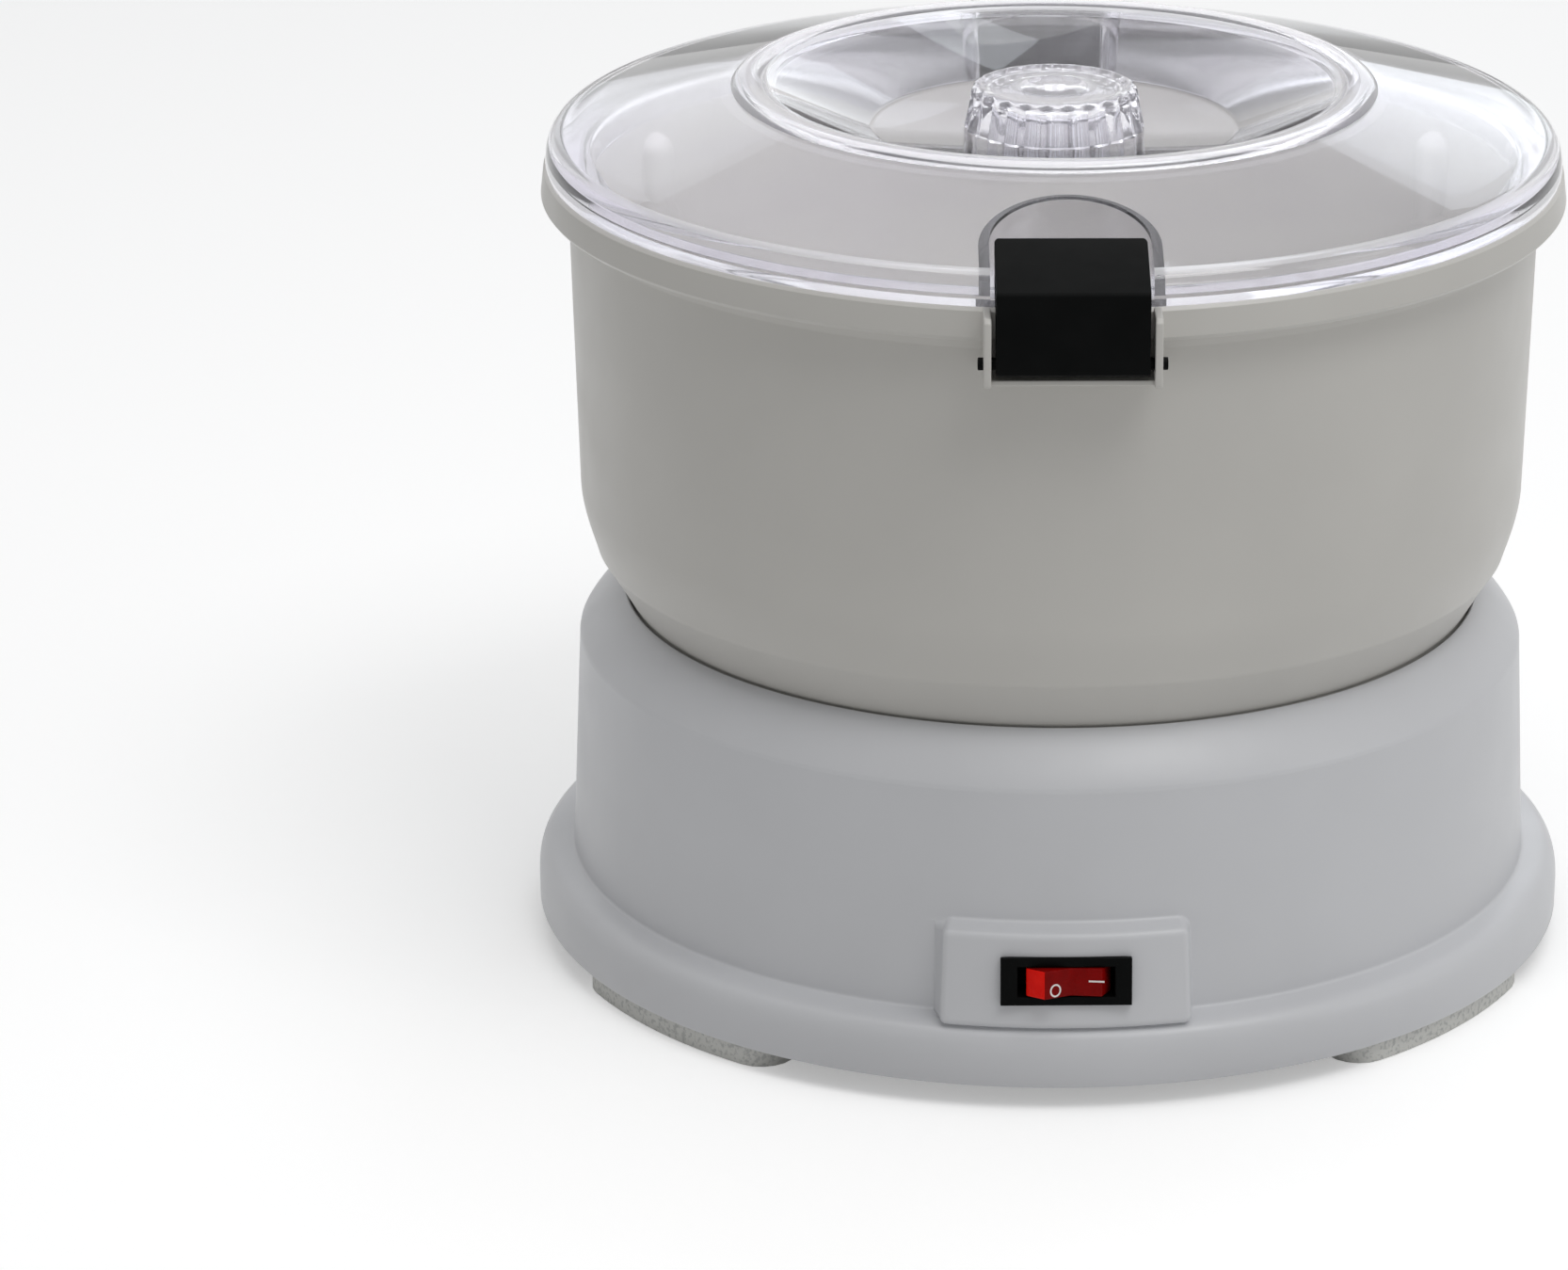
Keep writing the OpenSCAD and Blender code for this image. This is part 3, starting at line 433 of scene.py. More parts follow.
def bezier(a, b, c, d, steps=16):
    """Points of a cubic curve from a to d, drawn towards b and c."""
    a, b, c, d = (Vector(p) for p in (a, b, c, d))
    points = []
    for i in range(steps + 1):
        t = i / steps
        u = 1 - t
        points.append(tuple(u**3 * a + 3 * u**2 * t * b + 3 * u * t * t * c + t**3 * d))
    return points


def straight(start, end, steps):
    """The points between two ends of a straight line."""
    a, b = Vector(start), Vector(end)
    return [tuple(a + (b - a) * k / steps) for k in range(1, steps)]


def filleted(points, steps=4):
    """A closed outline; a point's third number, where it has one, is the radius that rounds its corner."""
    result = []
    count = len(points)
    for i, point in enumerate(points):
        here = Vector(point[:2])
        if len(point) < 3:
            result.append(tuple(here))
            continue
        to_last = (Vector(points[i - 1][:2]) - here).normalized()
        to_next = (Vector(points[(i + 1) % count][:2]) - here).normalized()
        half = to_last.angle(to_next) / 2
        reach = point[2] / math.tan(half)
        start, end = here + to_last * reach, here + to_next * reach
        for k in range(steps + 1):
            t = k / steps
            result.append(tuple((1 - t) ** 2 * start + 2 * (1 - t) * t * here + t * t * end))
    return result


# ------------------------------------------------------------- geometry nodes


def new_group(name, inputs):
    """A geometry node group with named inputs, the sockets that give them and a function that closes it."""
    tree = bpy.data.node_groups.new(name, "GeometryNodeTree")
    for key, kind in {"Geometry": "Geometry", **inputs, "Material": "Material"}.items():
        tree.interface.new_socket(key, in_out="INPUT", socket_type="NodeSocket" + kind)
    tree.interface.new_socket("Geometry", in_out="OUTPUT", socket_type="NodeSocketGeometry")
    given = tree.nodes.new("NodeGroupInput").outputs

    def close(geometry):
        real = add_node(tree, "GeometryNodeRealizeInstances", {"Geometry": geometry})
        painted = {"Geometry": real, "Material": given["Material"]}
        add_node(tree, "NodeGroupOutput", {"Geometry": add_node(tree, "GeometryNodeSetMaterial", painted)})
        return tree

    return tree, given, close


def copies_on(tree, points, one, **inputs):
    """One geometry repeated on each of the points."""
    return add_node(tree, "GeometryNodeInstanceOnPoints", {"Points": points, "Instance": one, **inputs})


def turned_group():
    """Turns a closed outline about the axis; points marked flute are scalloped round the axis."""
    tree, given, close = new_group("turned", {"Segments": "Int", "Flutes": "Int", "Flute depth": "Float"})
    profile = given["Geometry"]
    size = add_node(tree, "GeometryNodeAttributeDomainSize", {"Geometry": profile}, component="MESH")
    rows = size.outputs["Point Count"]
    columns = calc(tree, "ADD", given["Segments"], 1.0)
    cells = {"Vertices X": calc(tree, "ADD", rows, 1.0), "Vertices Y": columns}
    index = add_node(tree, "GeometryNodeInputIndex")
    line = calc(tree, "FLOOR", calc(tree, "DIVIDE", calc(tree, "ADD", index, 0.5), columns))
    row = calc(tree, "MODULO", line, rows)
    column = calc(tree, "MODULO", index, columns)
    angle = calc(tree, "MULTIPLY", calc(tree, "DIVIDE", column, given["Segments"]), 2 * math.pi)

    def of_row(value, kind):
        inputs = {"Geometry": profile, "Value": value, "Index": row}
        return add_node(tree, "GeometryNodeSampleIndex", inputs, data_type=kind)

    outline = of_row(add_node(tree, "GeometryNodeInputPosition"), "FLOAT_VECTOR")
    marked = add_node(tree, "GeometryNodeInputNamedAttribute", {"Name": "flute"}, data_type="FLOAT")
    half_turns = calc(tree, "MULTIPLY", angle, calc(tree, "DIVIDE", given["Flutes"], 2.0))
    lobes = calc(tree, "ABSOLUTE", calc(tree, "COSINE", half_turns))
    valley = calc(tree, "MULTIPLY", calc(tree, "SUBTRACT", 1.0, lobes), given["Flute depth"])
    cut = calc(tree, "MULTIPLY", valley, of_row(marked, "FLOAT"))
    parts = add_node(tree, "ShaderNodeSeparateXYZ", {"Vector": outline}).outputs
    radius = calc(tree, "SUBTRACT", parts["X"], cut)
    point = add_node(tree, "ShaderNodeCombineXYZ", {"X": radius, "Z": parts["Z"]})
    swing = {"Vector": point, "Angle": angle}
    swung = add_node(tree, "ShaderNodeVectorRotate", swing, rotation_type="Z_AXIS")
    grid = add_node(tree, "GeometryNodeMeshGrid", cells)
    moved = add_node(tree, "GeometryNodeSetPosition", {"Geometry": grid, "Position": swung})
    return close(add_node(tree, "GeometryNodeMergeByDistance", {"Geometry": moved, "Distance": 0.002 * MM}))


def ring_group():
    """Repeats the geometry round the axis at even angles."""
    tree, given, close = new_group("ring", {"Count": "Int", "First angle": "Float"})
    step = calc(tree, "DIVIDE", 2 * math.pi, given["Count"])
    angle = calc(tree, "MULTIPLY_ADD", add_node(tree, "GeometryNodeInputIndex"), step, given["First angle"])
    euler = add_node(tree, "ShaderNodeCombineXYZ", {"Z": angle})
    turn = add_node(tree, "FunctionNodeEulerToRotation", {0: euler})
    points = add_node(tree, "GeometryNodePoints", {"Count": given["Count"]})
    return close(copies_on(tree, points, given["Geometry"], Rotation=turn))


def grater_group():
    """A thin plate pierced by a grid of holes, with one copy of the geometry, a raised tooth, round each."""
    lengths = dict.fromkeys(("Length", "Width", "Thickness", "Pitch", "Hole radius"), "Float")
    tree, given, close = new_group("grater", {**lengths, "Rows": "Int", "Columns": "Int"})
    thick = given["Thickness"]
    size = add_node(tree, "ShaderNodeCombineXYZ", {"X": given["Length"], "Y": given["Width"], "Z": thick})
    lift = add_node(tree, "ShaderNodeCombineXYZ", {"Z": calc(tree, "MULTIPLY", thick, 0.5)})
    cube = add_node(tree, "GeometryNodeMeshCube", {"Size": size})
    plate = add_node(tree, "GeometryNodeTransform", {"Geometry": cube, "Translation": lift})
    spots = {"Vertices X": given["Columns"], "Vertices Y": given["Rows"]}
    for side, count in (("Size X", "Columns"), ("Size Y", "Rows")):
        spots[side] = calc(tree, "MULTIPLY", calc(tree, "SUBTRACT", given[count], 1.0), given["Pitch"])
    grid = add_node(tree, "GeometryNodeMeshGrid", spots)
    depth = calc(tree, "MULTIPLY", thick, 6.0)
    hole = {"Vertices": 24, "Radius": given["Hole radius"], "Depth": depth}
    drills = copies_on(tree, grid, add_node(tree, "GeometryNodeMeshCylinder", hole))
    real = add_node(tree, "GeometryNodeRealizeInstances", {"Geometry": drills})
    pierced = add_node(tree, "GeometryNodeMeshBoolean", {"Mesh 1": plate, "Mesh 2": real}, solver="EXACT")
    both = add_node(tree, "GeometryNodeJoinGeometry", {0: pierced})
    tree.links.new(copies_on(tree, grid, given["Geometry"]).outputs[0], both.inputs[0])
    return close(both)


GROUPS = {}


def grown(kind, source, material=None, **inputs):
    """Runs one of the node groups on a mesh and returns the result as a plain mesh."""
    if kind not in GROUPS:
        GROUPS[kind] = {"turned": turned_group, "ring": ring_group, "grater": grater_group}[kind]()
    group = GROUPS[kind]
    obj = temporary(source)
    modifier = obj.modifiers.new(kind, "NODES")
    modifier.node_group = group
    sockets = {
        item.name: item.identifier
        for item in group.interface.items_tree
        if item.item_type == "SOCKET" and item.in_out == "INPUT"
    }
    for key, value in inputs.items():
        modifier[sockets[key.replace("_", " ").capitalize()]] = value
    if material:
        modifier[sockets["Material"]] = material
    return evaluated(obj)


def turned(outline, segments=256, flute=None, flutes=0, flute_depth=0.0):
    """A closed outline of (radius, height) in millimetres, turned about the axis by the node group."""
    profile = mesh_from([(r, 0, z) for r, z in filleted(outline)], [], "profile")
    marks = profile.attributes.new("flute", "FLOAT", "POINT")
    if flute:
        marks.data.foreach_set("value", [float(value) for value in flute])
    mesh = grown("turned", profile, segments=segments, flutes=flutes, flute_depth=flute_depth * MM)
    return cleaned(mesh)


def ringed(mesh, count, first_angle=0.0):
    return grown("ring", mesh, count=count, first_angle=math.radians(first_angle))


# ---------------------------------------------------------------- piece tools


def add_piece(name, mesh, body, slot, material=None, replaces=(), shade_angle=32):
    """Puts a finished mesh in the scene as a piece of one body."""
    obj = bpy.data.objects.new(name, shaded(mesh, shade_angle))
    obj.data.name = name
    bpy.context.scene.collection.objects.link(obj)
    obj.data.materials.clear()
    obj.data.materials.append(material or finish(slot))
    for polygon in obj.data.polygons:
        polygon.material_index = 0
    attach(obj, body)
    if replaces:
        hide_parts(*replaces)


def packed_part(node):
    """(body, slot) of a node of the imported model."""
    record = frame["record"]
    body = next(name for name, nodes in record["behaviour"]["bodies"].items() if node in nodes)
    slot = next(part["material_slot"] for part in record["subparts"] if part["node"] == node)
    return body, slot


def softened(node, width_mm):
    """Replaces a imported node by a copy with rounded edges."""
    mesh = cleaned(frame["nodes"][node].data.copy(), 0.5)
    body, slot = packed_part(node)
    add_piece(node + "_soft", bevelled(mesh, width_mm, 2, 35), body, slot, replaces=[node])


# --------------------------------------------------------------------- pieces


class HousingSettings(bpy.types.PropertyGroup):
    pad_width: FloatProperty(name="Pad width", description="Width of the raised pad", default=0.0613,
                             unit="LENGTH")
    pad_height: FloatProperty(name="Pad height", description="Height of the raised pad", default=0.0237,
                              unit="LENGTH")
    pad_rounding: FloatProperty(name="Pad rounding", description="Radius of the pad's edges", default=0.0020,
                                unit="LENGTH")
    fillet: FloatProperty(name="Fillet", description="Blend between the pad and the wall", default=0.0015,
                          unit="LENGTH")
    colour: FloatVectorProperty(name="Colour", description="Colour of the base's plastic, slightly cool",
                                default=linear("#cfd0d3")[:3], subtype="COLOR", min=0.0, max=1.0)


def housing_outline():
    """The base's section in millimetres: up the outside, over the deck and collar, and down the inside."""
    flare = bezier((130.95, 13), (130.95, 20.65), (127.6, 20.1), (123.2, 21.1), 24)
    shoulder = bezier((119.4, 78.3), (118.0, 81.4), (111.2, 89.0), (108.2, 90), 24)
    outside = [(129.9, 5.8), (130.6, 6.0), (130.9, 6.6), *flare, (121.87, 21.4, 0.9)]
    outside += [(121.8 - 2.2 * k / 26, 23.2 + 53 * k / 26) for k in range(27)]
    outside += [(119.58, 77.4, 0.5), *shoulder, (107.7, 89.7), (107.5, 89.1)]
    deck = [(107.5, 82, 1.2), (15, 82, 1.0), (15, 92, 0.6), (10, 92, 0.3), (10, 79.4)]
    inner_shoulder = bezier((117, 72), (116.8, 76), (113.6, 83.2), (110.3, 85), 8)
    inner_flare = bezier((128.2, 11), (128.2, 17.6), (119.6, 16.8), (119, 22), 12)
    inside = [(110.3, 79.4), *reversed(inner_shoulder), *reversed(inner_flare), (128.2, 5.8)]
    rounded = [point for point in outside if len(point) > 2]  # filleted gives each of these four points more
    return filleted(outside + deck + inside), len(outside) + 4 * len(rounded)


def smooth_max(a, b, k):
    h = max(k - abs(a - b), 0.0) / k
    return max(a, b) + h * h * k * 0.25


def pad_height_at(angle, z, s):
    """How far out the switch pad stands, in millimetres, at an angle from the front and a height."""
    rounding = s.pad_rounding / MM
    side_slope = 3.0
    dx = abs(angle) * PAD_RADIUS - (s.pad_width / MM / 2 - rounding)
    dz = abs(z - PAD_HEIGHT) - (s.pad_height / MM / 2 - rounding)
    outside = math.hypot(max(dx, 0.0), max(dz, 0.0)) + min(max(dx, dz), 0.0)
    face = PAD_RADIUS + (SWITCH_HEIGHT - z) * PAD_SLOPE
    if outside <= 0.0:
        return face
    if outside < rounding:
        return face - (rounding - math.sqrt(rounding**2 - outside**2))
    return face - rounding - side_slope * (outside - rounding)


def housing_angles():
    """Angles from the front, close together at the ends of the pad."""
    pad_end = 13.4
    angles = []
    a = -180.0
    while a < 180.0 - 1e-6:
        angles.append(math.radians(a))
        near = abs(abs(a) - pad_end)
        a += 0.12 if near < 1.3 else 0.6 if abs(a) < pad_end - 0.8 else 1.25
    return angles


def housing_rows():
    """The section's points with whether each is on the outside, close together where the pad is."""
    outline, outer_count = housing_outline()
    rows = []
    for i, (r, z) in enumerate(outline):
        rows.append((r, z, i < outer_count))
        if i + 1 < outer_count and 14 < z < 52:
            r2, z2 = outline[i + 1]
            parts = max(1, math.ceil((z2 - z) / 0.4))
            rows += [(r + (r2 - r) * k / parts, z + (z2 - z) * k / parts, True) for k in range(1, parts)]
    return rows


def switch_frame():
    """Places things drawn round the middle of the switch, -Y outwards, on the pad's slope."""
    middle = Matrix.Translation((0, -PAD_RADIUS * MM, SWITCH_HEIGHT * MM))
    return middle @ Matrix.Rotation(-math.atan(PAD_SLOPE), 4, "X")


class PeelerHousing(bpy.types.Operator):
    """The base's moulding: flared wall with the switch pad blended in, deck, collar, lugs and posts"""

    bl_idname = "peeler.housing"
    bl_label = "Housing"

    def execute(self, context):
        s = context.scene.peeler_housing
        angles, rows = housing_angles(), housing_rows()
        points = []
        for r, z, outer in rows:
            for a in angles:
                out = smooth_max(r, pad_height_at(a, z, s), s.fillet / MM) if outer and abs(a) < 0.3 else r
                points.append((out * math.sin(a), -out * math.cos(a), z))
        wide = len(angles)
        faces = [
            (i * wide + j, ((i + 1) % len(rows)) * wide + j,
             ((i + 1) % len(rows)) * wide + (j + 1) % wide, i * wide + (j + 1) % wide)
            for i in range(len(rows)) for j in range(wide)
        ]
        shell = cleaned(mesh_from(points, faces))
        opening = placed(block((-14.55, -6, -4.6), (14.55, 14, 4.6)), switch_frame())
        seat = placed(block((-15.85, -4, -5.9), (15.85, 0.9, 5.9)), switch_frame())
        bore = rod((0, 100, 30), (0, 140, 30), 6.6)
        shell = carved(shell, opening, seat, bore)
        boss = carved(bevelled(rod((0, 114, 30), (0, 130.4, 30), 11), 1.0), bore)
        lug = bevelled(block((99, -7, 81), (107.6, 7, 85.5)), 0.6)
        post = rod((108, 0, 11.3), (108, 0, 79.6), 4.5, 32)
        whole = joined(shell, boss, ringed(lug, 3, 30), ringed(post, 4, 15))
        plastic = moulded_abs("moulded_abs_base", s.colour)
        add_piece("housing", whole, "base", "grey_abs", plastic, ["base_housing"])
        return {"FINISHED"}


class BowlSettings(bpy.types.PropertyGroup):
    segments: IntProperty(name="Segments", description="Steps round the bowl", default=320)
    rib_count: IntProperty(name="Ribs", description="Tumbling ribs inside the bowl", default=3)
    colour: FloatVectorProperty(name="Colour", description="Colour of the bowl's plastic, slightly warm",
                                default=linear("#c7c5c0")[:3], subtype="COLOR", min=0.0, max=1.0)


def bowl_outline():
    """The bowl's section: up the outside to the flange, and down the inside to the centre tube."""
    outside = [(100, 82, 0.6), (106.8, 82, 0.8), (106.8, 89.6)]
    outside += bezier((107.4, 90.5), (109.8, 94.5), (112.3, 99.0), (115.0, 102.8), 14)
    outside += bezier((115.0, 102.8), (116.3, 107.3), (118.4, 112.5), (118.7, 118), 18)[1:]
    outside += [(120.6, 188.5, 2.0), (121.5, 191.6, 1.2), (126.6, 192.2, 0.4), (127.4, 193.2, 0.4),
                (126.7, 199.4, 0.3), (125.9, 200.3, 0.3)]
    inside = [(118, 200.3, 0.4), (118, 187)]
    inside += reversed(bezier((98, 89), (106.5, 89.5), (113, 100), (116.1, 118), 20))
    inside += [(19, 89, 1.5), (19, 110, 0.6), (16.5, 110, 0.4), (16.5, 86.4), (100, 86.4)]
    return outside + inside


def latch_cradle():
    """Two ears with a shelf below them, facing -Y."""
    ear = [(118.8, 183.2), (132.5, 183.2), (133.6, 183.5), (134.2, 184.1), (134.5, 185.2), (134.5, 199.3),
           (133.5, 200.3), (118.8, 200.3)]
    ears = [bevelled(front_prism(ear, 0.9, side * 19.8), 0.35) for side in (-1, 1)]
    shelf = [(118.8, 183.2), (131, 183.2), (131, 184.6), (118.8, 184.6)]
    return joined(*ears, bevelled(front_prism(shelf, 19.2), 0.3))


def tumbling_rib():
    """A rounded rib standing on the inside of the bowl's wall."""
    r, low, high = 6, 123, 183
    rib = turned([*arc(0, low, r, -90, 0, 12), *arc(0, high, r, 0, 90, 12), (0, high + r)], 48)
    return placed(rib, Matrix.Translation((119 * MM, 0, 0)))


class PeelerBowl(bpy.types.Operator):
    """The bowl: turned wall, flange and centre tube, with the latch cradles and tumbling ribs"""

    bl_idname = "peeler.bowl"
    bl_label = "Bowl"

    def execute(self, context):
        s = context.scene.peeler_bowl
        wall = turned(bowl_outline(), s.segments)
        notch = block((98, -7.6, 81), (109, 7.6, 86.0))
        wall = carved(wall, ringed(notch, 3, 30))
        keep = rod((0, 0, 100), (0, 0, 210), 118.4, 180)
        ribs = carved(ringed(tumbling_rib(), s.rib_count, 30), keep, operation="INTERSECT")
        whole = joined(wall, ribs, ringed(latch_cradle(), 2))
        plastic = moulded_abs("moulded_abs_bowl", s.colour)
        add_piece("bowl", whole, "bowl", "grey_abs", plastic, ["bowl_shell"])
        return {"FINISHED"}


class LidSettings(bpy.types.PropertyGroup):
    segments: IntProperty(name="Segments", description="Steps round the lid", default=288)
    flutes: IntProperty(name="Flutes", description="Scallops round the knob", default=24)
    flute_depth: FloatProperty(name="Flute depth", description="Depth of each scallop", default=0.0011,
                               unit="LENGTH")


def lid_outside():
    """The outer section of the lid: rim, cone, raised ring and the edge of the dish.

    The cone has points along it, so that no face runs far past a latch pocket.
    """
    rim = bezier((126.1, 202.7), (125.8, 206.3), (124.6, 207.9), (122.4, 208.7), 14)
    ring = bezier((80.1, 219.5), (78.5, 221.9), (72.3, 222.1), (69.9, 219.9), 14)
    cone = straight(rim[-1], ring[0], 16)
    return [(126.0, LID_SEAT), (126.2, 201.5), *rim, *cone, *ring, (46, 209.2), (44.5, 208.7)]


def lid_shell_outline():
    """The lid's whole section: the spigot in the bowl's mouth, the outside and the inside."""
    cone = straight((77.1, 218.7), (121.5, 206.5), 16)[1:-1]
    inside = [(43.6, 206.5), (70.1, 217.5, 1.0), (72.9, 219.1, 1.0), (77.1, 218.7, 1.0), *cone,
              (121.5, 206.5, 1.0), (122.9, 204.3, 0.5), (123, 202.3, 0.3), (115, 202.3, 0.3),
              (115, 194.5, 0.3)]
    spigot = [(117.2, 194.5, 0.4), (117.2, LID_SEAT)]
    return spigot + lid_outside() + [(0, 208.7), (0, 206.5)] + inside


def pockets(inset, low):
    """Both latch pockets, open above: straight sides and a round inner end, drawn in by the inset."""
    r = POCKET_RADIUS - inset
    plan = [*arc(0, POCKET_CENTRE, r, 0, 180, 40), (-r, POCKET_CENTRE), (-r, -150), (r, -150)]
    one = prism(plan, low, 250)
    return joined(one, turned_half(one))


def knob_outline():
    """Section of the hollow knob with, for each point, how deep its scallops are."""
    side = [(22.4, 208.7), (21.9, 211.0), (21.2, 214.5), (20.8, 217.0)]
    crown = bezier((20.6, 217.8), (20.4, 219.0), (19.6, 219.4), (18.4, 219.4), 6)
    dish = bezier((18.0, 219.35), (16.8, 219.0), (16.0, 218.8), (13.0, 218.8), 5)
    nub = [(3.0, 218.8), (2.6, 219.2), (0.0, 219.3)]
    inside = [(0, 216.9), (15.6, 216.9), (17.6, 216.2), (18.6, 214.0), (20.2, 208.7)]
    outline = side + crown + dish + nub + inside
    marks = [1.0] * len(side) + [0.9, 0.8, 0.6, 0.4, 0.25, 0.1]
    return outline, marks + [0.0] * (len(outline) - len(marks))


def store_painted_highlight(mesh, rule):
    """Stores on each face how much painted highlight it gets, in the attribute edge, by a rule of its middle
    and its normal.
    """
    edge = mesh.attributes.new("edge", "FLOAT", "FACE")
    edge.data.foreach_set("value", [rule(face.center / MM, face.normal) for face in mesh.polygons])


def lid_painted_highlight(at, normal):
    """Painted highlight: the lines round the raised ring and the rim, and the walls and floors of the pockets,
    are painted paler and less clear, as if they gathered light.
    """
    r = math.hypot(at.x, at.y)
    by_pocket = abs(at.x) < 22.5 and abs(at.y) > 86
    on_rim = r > 121.8 and at.z < 209
    on_ring = 69.5 < r < 80.8 and at.z > 216
    if by_pocket and (abs(normal.z) < 0.5 or at.z < 204):
        return 0.12
    if on_rim:
        return 0.7 if at.z > 207.5 else 0.08
    if on_ring:
        return 0.7 if r < 70.8 else 0.12
    return 0.0


class PeelerLid(bpy.types.Operator):
    """The clear lid with its raised ring and latch pockets, and the fluted knob"""

    bl_idname = "peeler.lid"
    bl_label = "Lid and knob"

    def execute(self, context):
        s = context.scene.peeler_lid
        wall = 2.4
        shell = carved(turned(lid_shell_outline(), s.segments), pockets(1.0, POCKET_FLOOR - 1.0))
        solid = turned([*lid_outside(), (0, 208.7), (0, LID_SEAT)], s.segments)
        walls = carved(pockets(0.0, LID_SEAT), pockets(wall, POCKET_FLOOR))
        walls = carved(walls, solid, operation="INTERSECT")
        edge = block((-19, -135, 195), (19, -124.5, 225))
        lid = cleaned(carved(carved(shell, walls, operation="UNION"), edge, turned_half(edge)))
        # Painted highlight on the lid's ring, rim and pockets, stored for its material.
        store_painted_highlight(lid, lid_painted_highlight)
        add_piece("clear_lid", lid, "lid", "clear_plastic", replaces=["lid_shell"], shade_angle=28)
        outline, marks = knob_outline()
        knob = turned(outline, s.flutes * 12, marks, s.flutes, s.flute_depth / MM)
        # The whole knob gets an even share of the same paleness: it is a little less clear all over.
        store_painted_highlight(knob, lambda at, normal: 0.15)
        add_piece("knob", knob, "lid", "clear_plastic", replaces=["lid_knob"], shade_angle=60)
        return {"FINISHED"}


class LatchSettings(bpy.types.PropertyGroup):
    width: FloatProperty(name="Width", description="Width of a latch", default=0.0356, unit="LENGTH")
    edge: FloatProperty(name="Edge radius", description="Rounding of the latch's edges", default=0.0005,
                        unit="LENGTH")


def latch_mesh(s):
    """A bent plate with its barrel and hook, facing -Y."""
    crease = arc(132.7, 205.2, 1.5, 0, 76, 6)
    barrel = arc(131.3, 188.8, 2.9, 100, 255, 12)
    outline = [(133.6, 186.3), (134.2, 186.9), *crease, (111.5, 213.0), (110.7, 212.1), (111.0, 210.27),
               (128.6, 205.15), (116.5, 205.9), (115.3, 204.9), (115.8, 203.1), (131.6, 203.1),
               (131.6, 191.6), *barrel[1:], (131.3, 185.9)]
    half, corner, tip = s.width / MM / 2, 2.6, -113.4
    plate = front_prism(outline, half)
    for side in (-1, 1):
        x = side * (half - corner)
        square = block((min(x, x + side * 4), tip, 205.5), (max(x, x + side * 4), -108, 225))
        plate = carved(plate, carved(square, rod((x, tip, 200), (x, tip, 230), corner, 48)))
    gusset = [(123.5, 204.1), (130.2, 204.1), (130.2, 205.3), (123.5, 207.9)]
    gussets = [front_prism(gusset, 1.0, x) for x in (-12, 0, 12)]
    return joined(bevelled(plate, s.edge / MM, 3, 40), *gussets)


class PeelerLatches(bpy.types.Operator):
    """The two black latches, each a bent plate with a hook"""

    bl_idname = "peeler.latches"
    bl_label = "Latches"

    def execute(self, context):
        front = latch_mesh(context.scene.peeler_latch)
        add_piece("front_latch_plate", front, "front_latch", "black_plastic", replaces=["front_latch"])
        rear = turned_half(front)
        add_piece("rear_latch_plate", rear, "rear_latch", "black_plastic", replaces=["rear_latch"])
        return {"FINISHED"}


class SwitchSettings(bpy.types.PropertyGroup):
    ring: FloatProperty(name="Ring radius", description="Outer radius of the ring on the raised half",
                        default=0.0016, unit="LENGTH")
    line: FloatProperty(name="Line length", description="Length of the line on the lowered half",
                        default=0.0038, unit="LENGTH")
    stroke: FloatProperty(name="Stroke", description="Width of the printed marks", default=0.00042,
                          unit="LENGTH")


def rocker_frame():
    """The rocker's pivot, with +Y out of the switch, turned as it rests."""
    out = Matrix.Translation((0, 4.1 * MM, 0)) @ Matrix.Rotation(math.pi, 4, "Z")
    return switch_frame() @ out @ Matrix.Rotation(math.radians(12), 4, "Z")


def rocker_mesh():
    """The rocker: two sloping halves that meet in a shallow valley, sloping ends and a round underside."""
    ends = [(9.9, 0.5, 0.4), (10.45, 3.0, 0.8), (7.0, 7.9, 0.4)]
    under = arc(0, 0, 6.5, 215, 325, 12)
    left = [(-x, y, r) for x, y, r in reversed(ends)]
    outline = filleted([(0, ROCKER_VALLEY, 2.0), *left, *under, *ends])
    body = bevelled(prism(outline, -3.4, 3.4), 0.3)
    return joined(body, rod((0, 0, -4.3), (0, 0, 4.3), 1.2))


def on_rocker_half(distance, height, side):
    """Places things on one half of the rocker, at a distance from its valley, with Z out of the surface."""
    run, rise = 0.933, 0.3599
    along, out = Vector((run * side, rise, 0)), Vector((-rise * side, run, 0))
    across = out.cross(along)
    place = Vector((0, ROCKER_VALLEY, height)) + along * distance
    turn = Matrix((along, across, out)).transposed().to_4x4()
    return Matrix.Translation(place * MM) @ turn


def rocker_marks(s):
    """The ring on the raised half and the line on the lowered half, as a thin coat of ink."""
    outer, half, inner = s.ring / MM, s.line / MM / 2, (s.ring - s.stroke) / MM
    ink = 0.05
    ring = turned([(inner, -ink), (outer, -ink), (outer, ink), (inner, ink)], 64)
    line = block((-half, -s.stroke / MM / 2, -ink), (half, s.stroke / MM / 2, ink))
    return joined(placed(ring, on_rocker_half(4.5, -1.5, 1)), placed(line, on_rocker_half(6.2, 0.3, -1)))


class PeelerSwitch(bpy.types.Operator):
    """The rocker switch: bezel, red rocker and its printed ring and line"""

    bl_idname = "peeler.switch"
    bl_label = "Switch"

    def execute(self, context):
        softened("switch_body", 0.3)
        rocker = rocker_mesh()
        # Painted highlight: the end face of the raised half is marked to be painted bright red, as if lit.
        store_painted_highlight(rocker, lambda at, normal: 1.0 if at.x > 6 and normal.x > 0.5 else 0.0)
        rocker.transform(rocker_frame())
        add_piece("rocker", rocker, "rocker", "red_plastic", replaces=["rocker_button"])
        marks = placed(rocker_marks(context.scene.peeler_switch), rocker_frame())
        add_piece("rocker_marks", marks, "rocker", "red_plastic", finish("white_ink"))
        return {"FINISHED"}


class DiscSettings(bpy.types.PropertyGroup):
    blade_count: IntProperty(name="Blades", description="Grater plates on the disc", default=3)
    rows: IntProperty(name="Rows", description="Rows of teeth on a plate", default=2)
    columns: IntProperty(name="Columns", description="Teeth in a row", default=5)


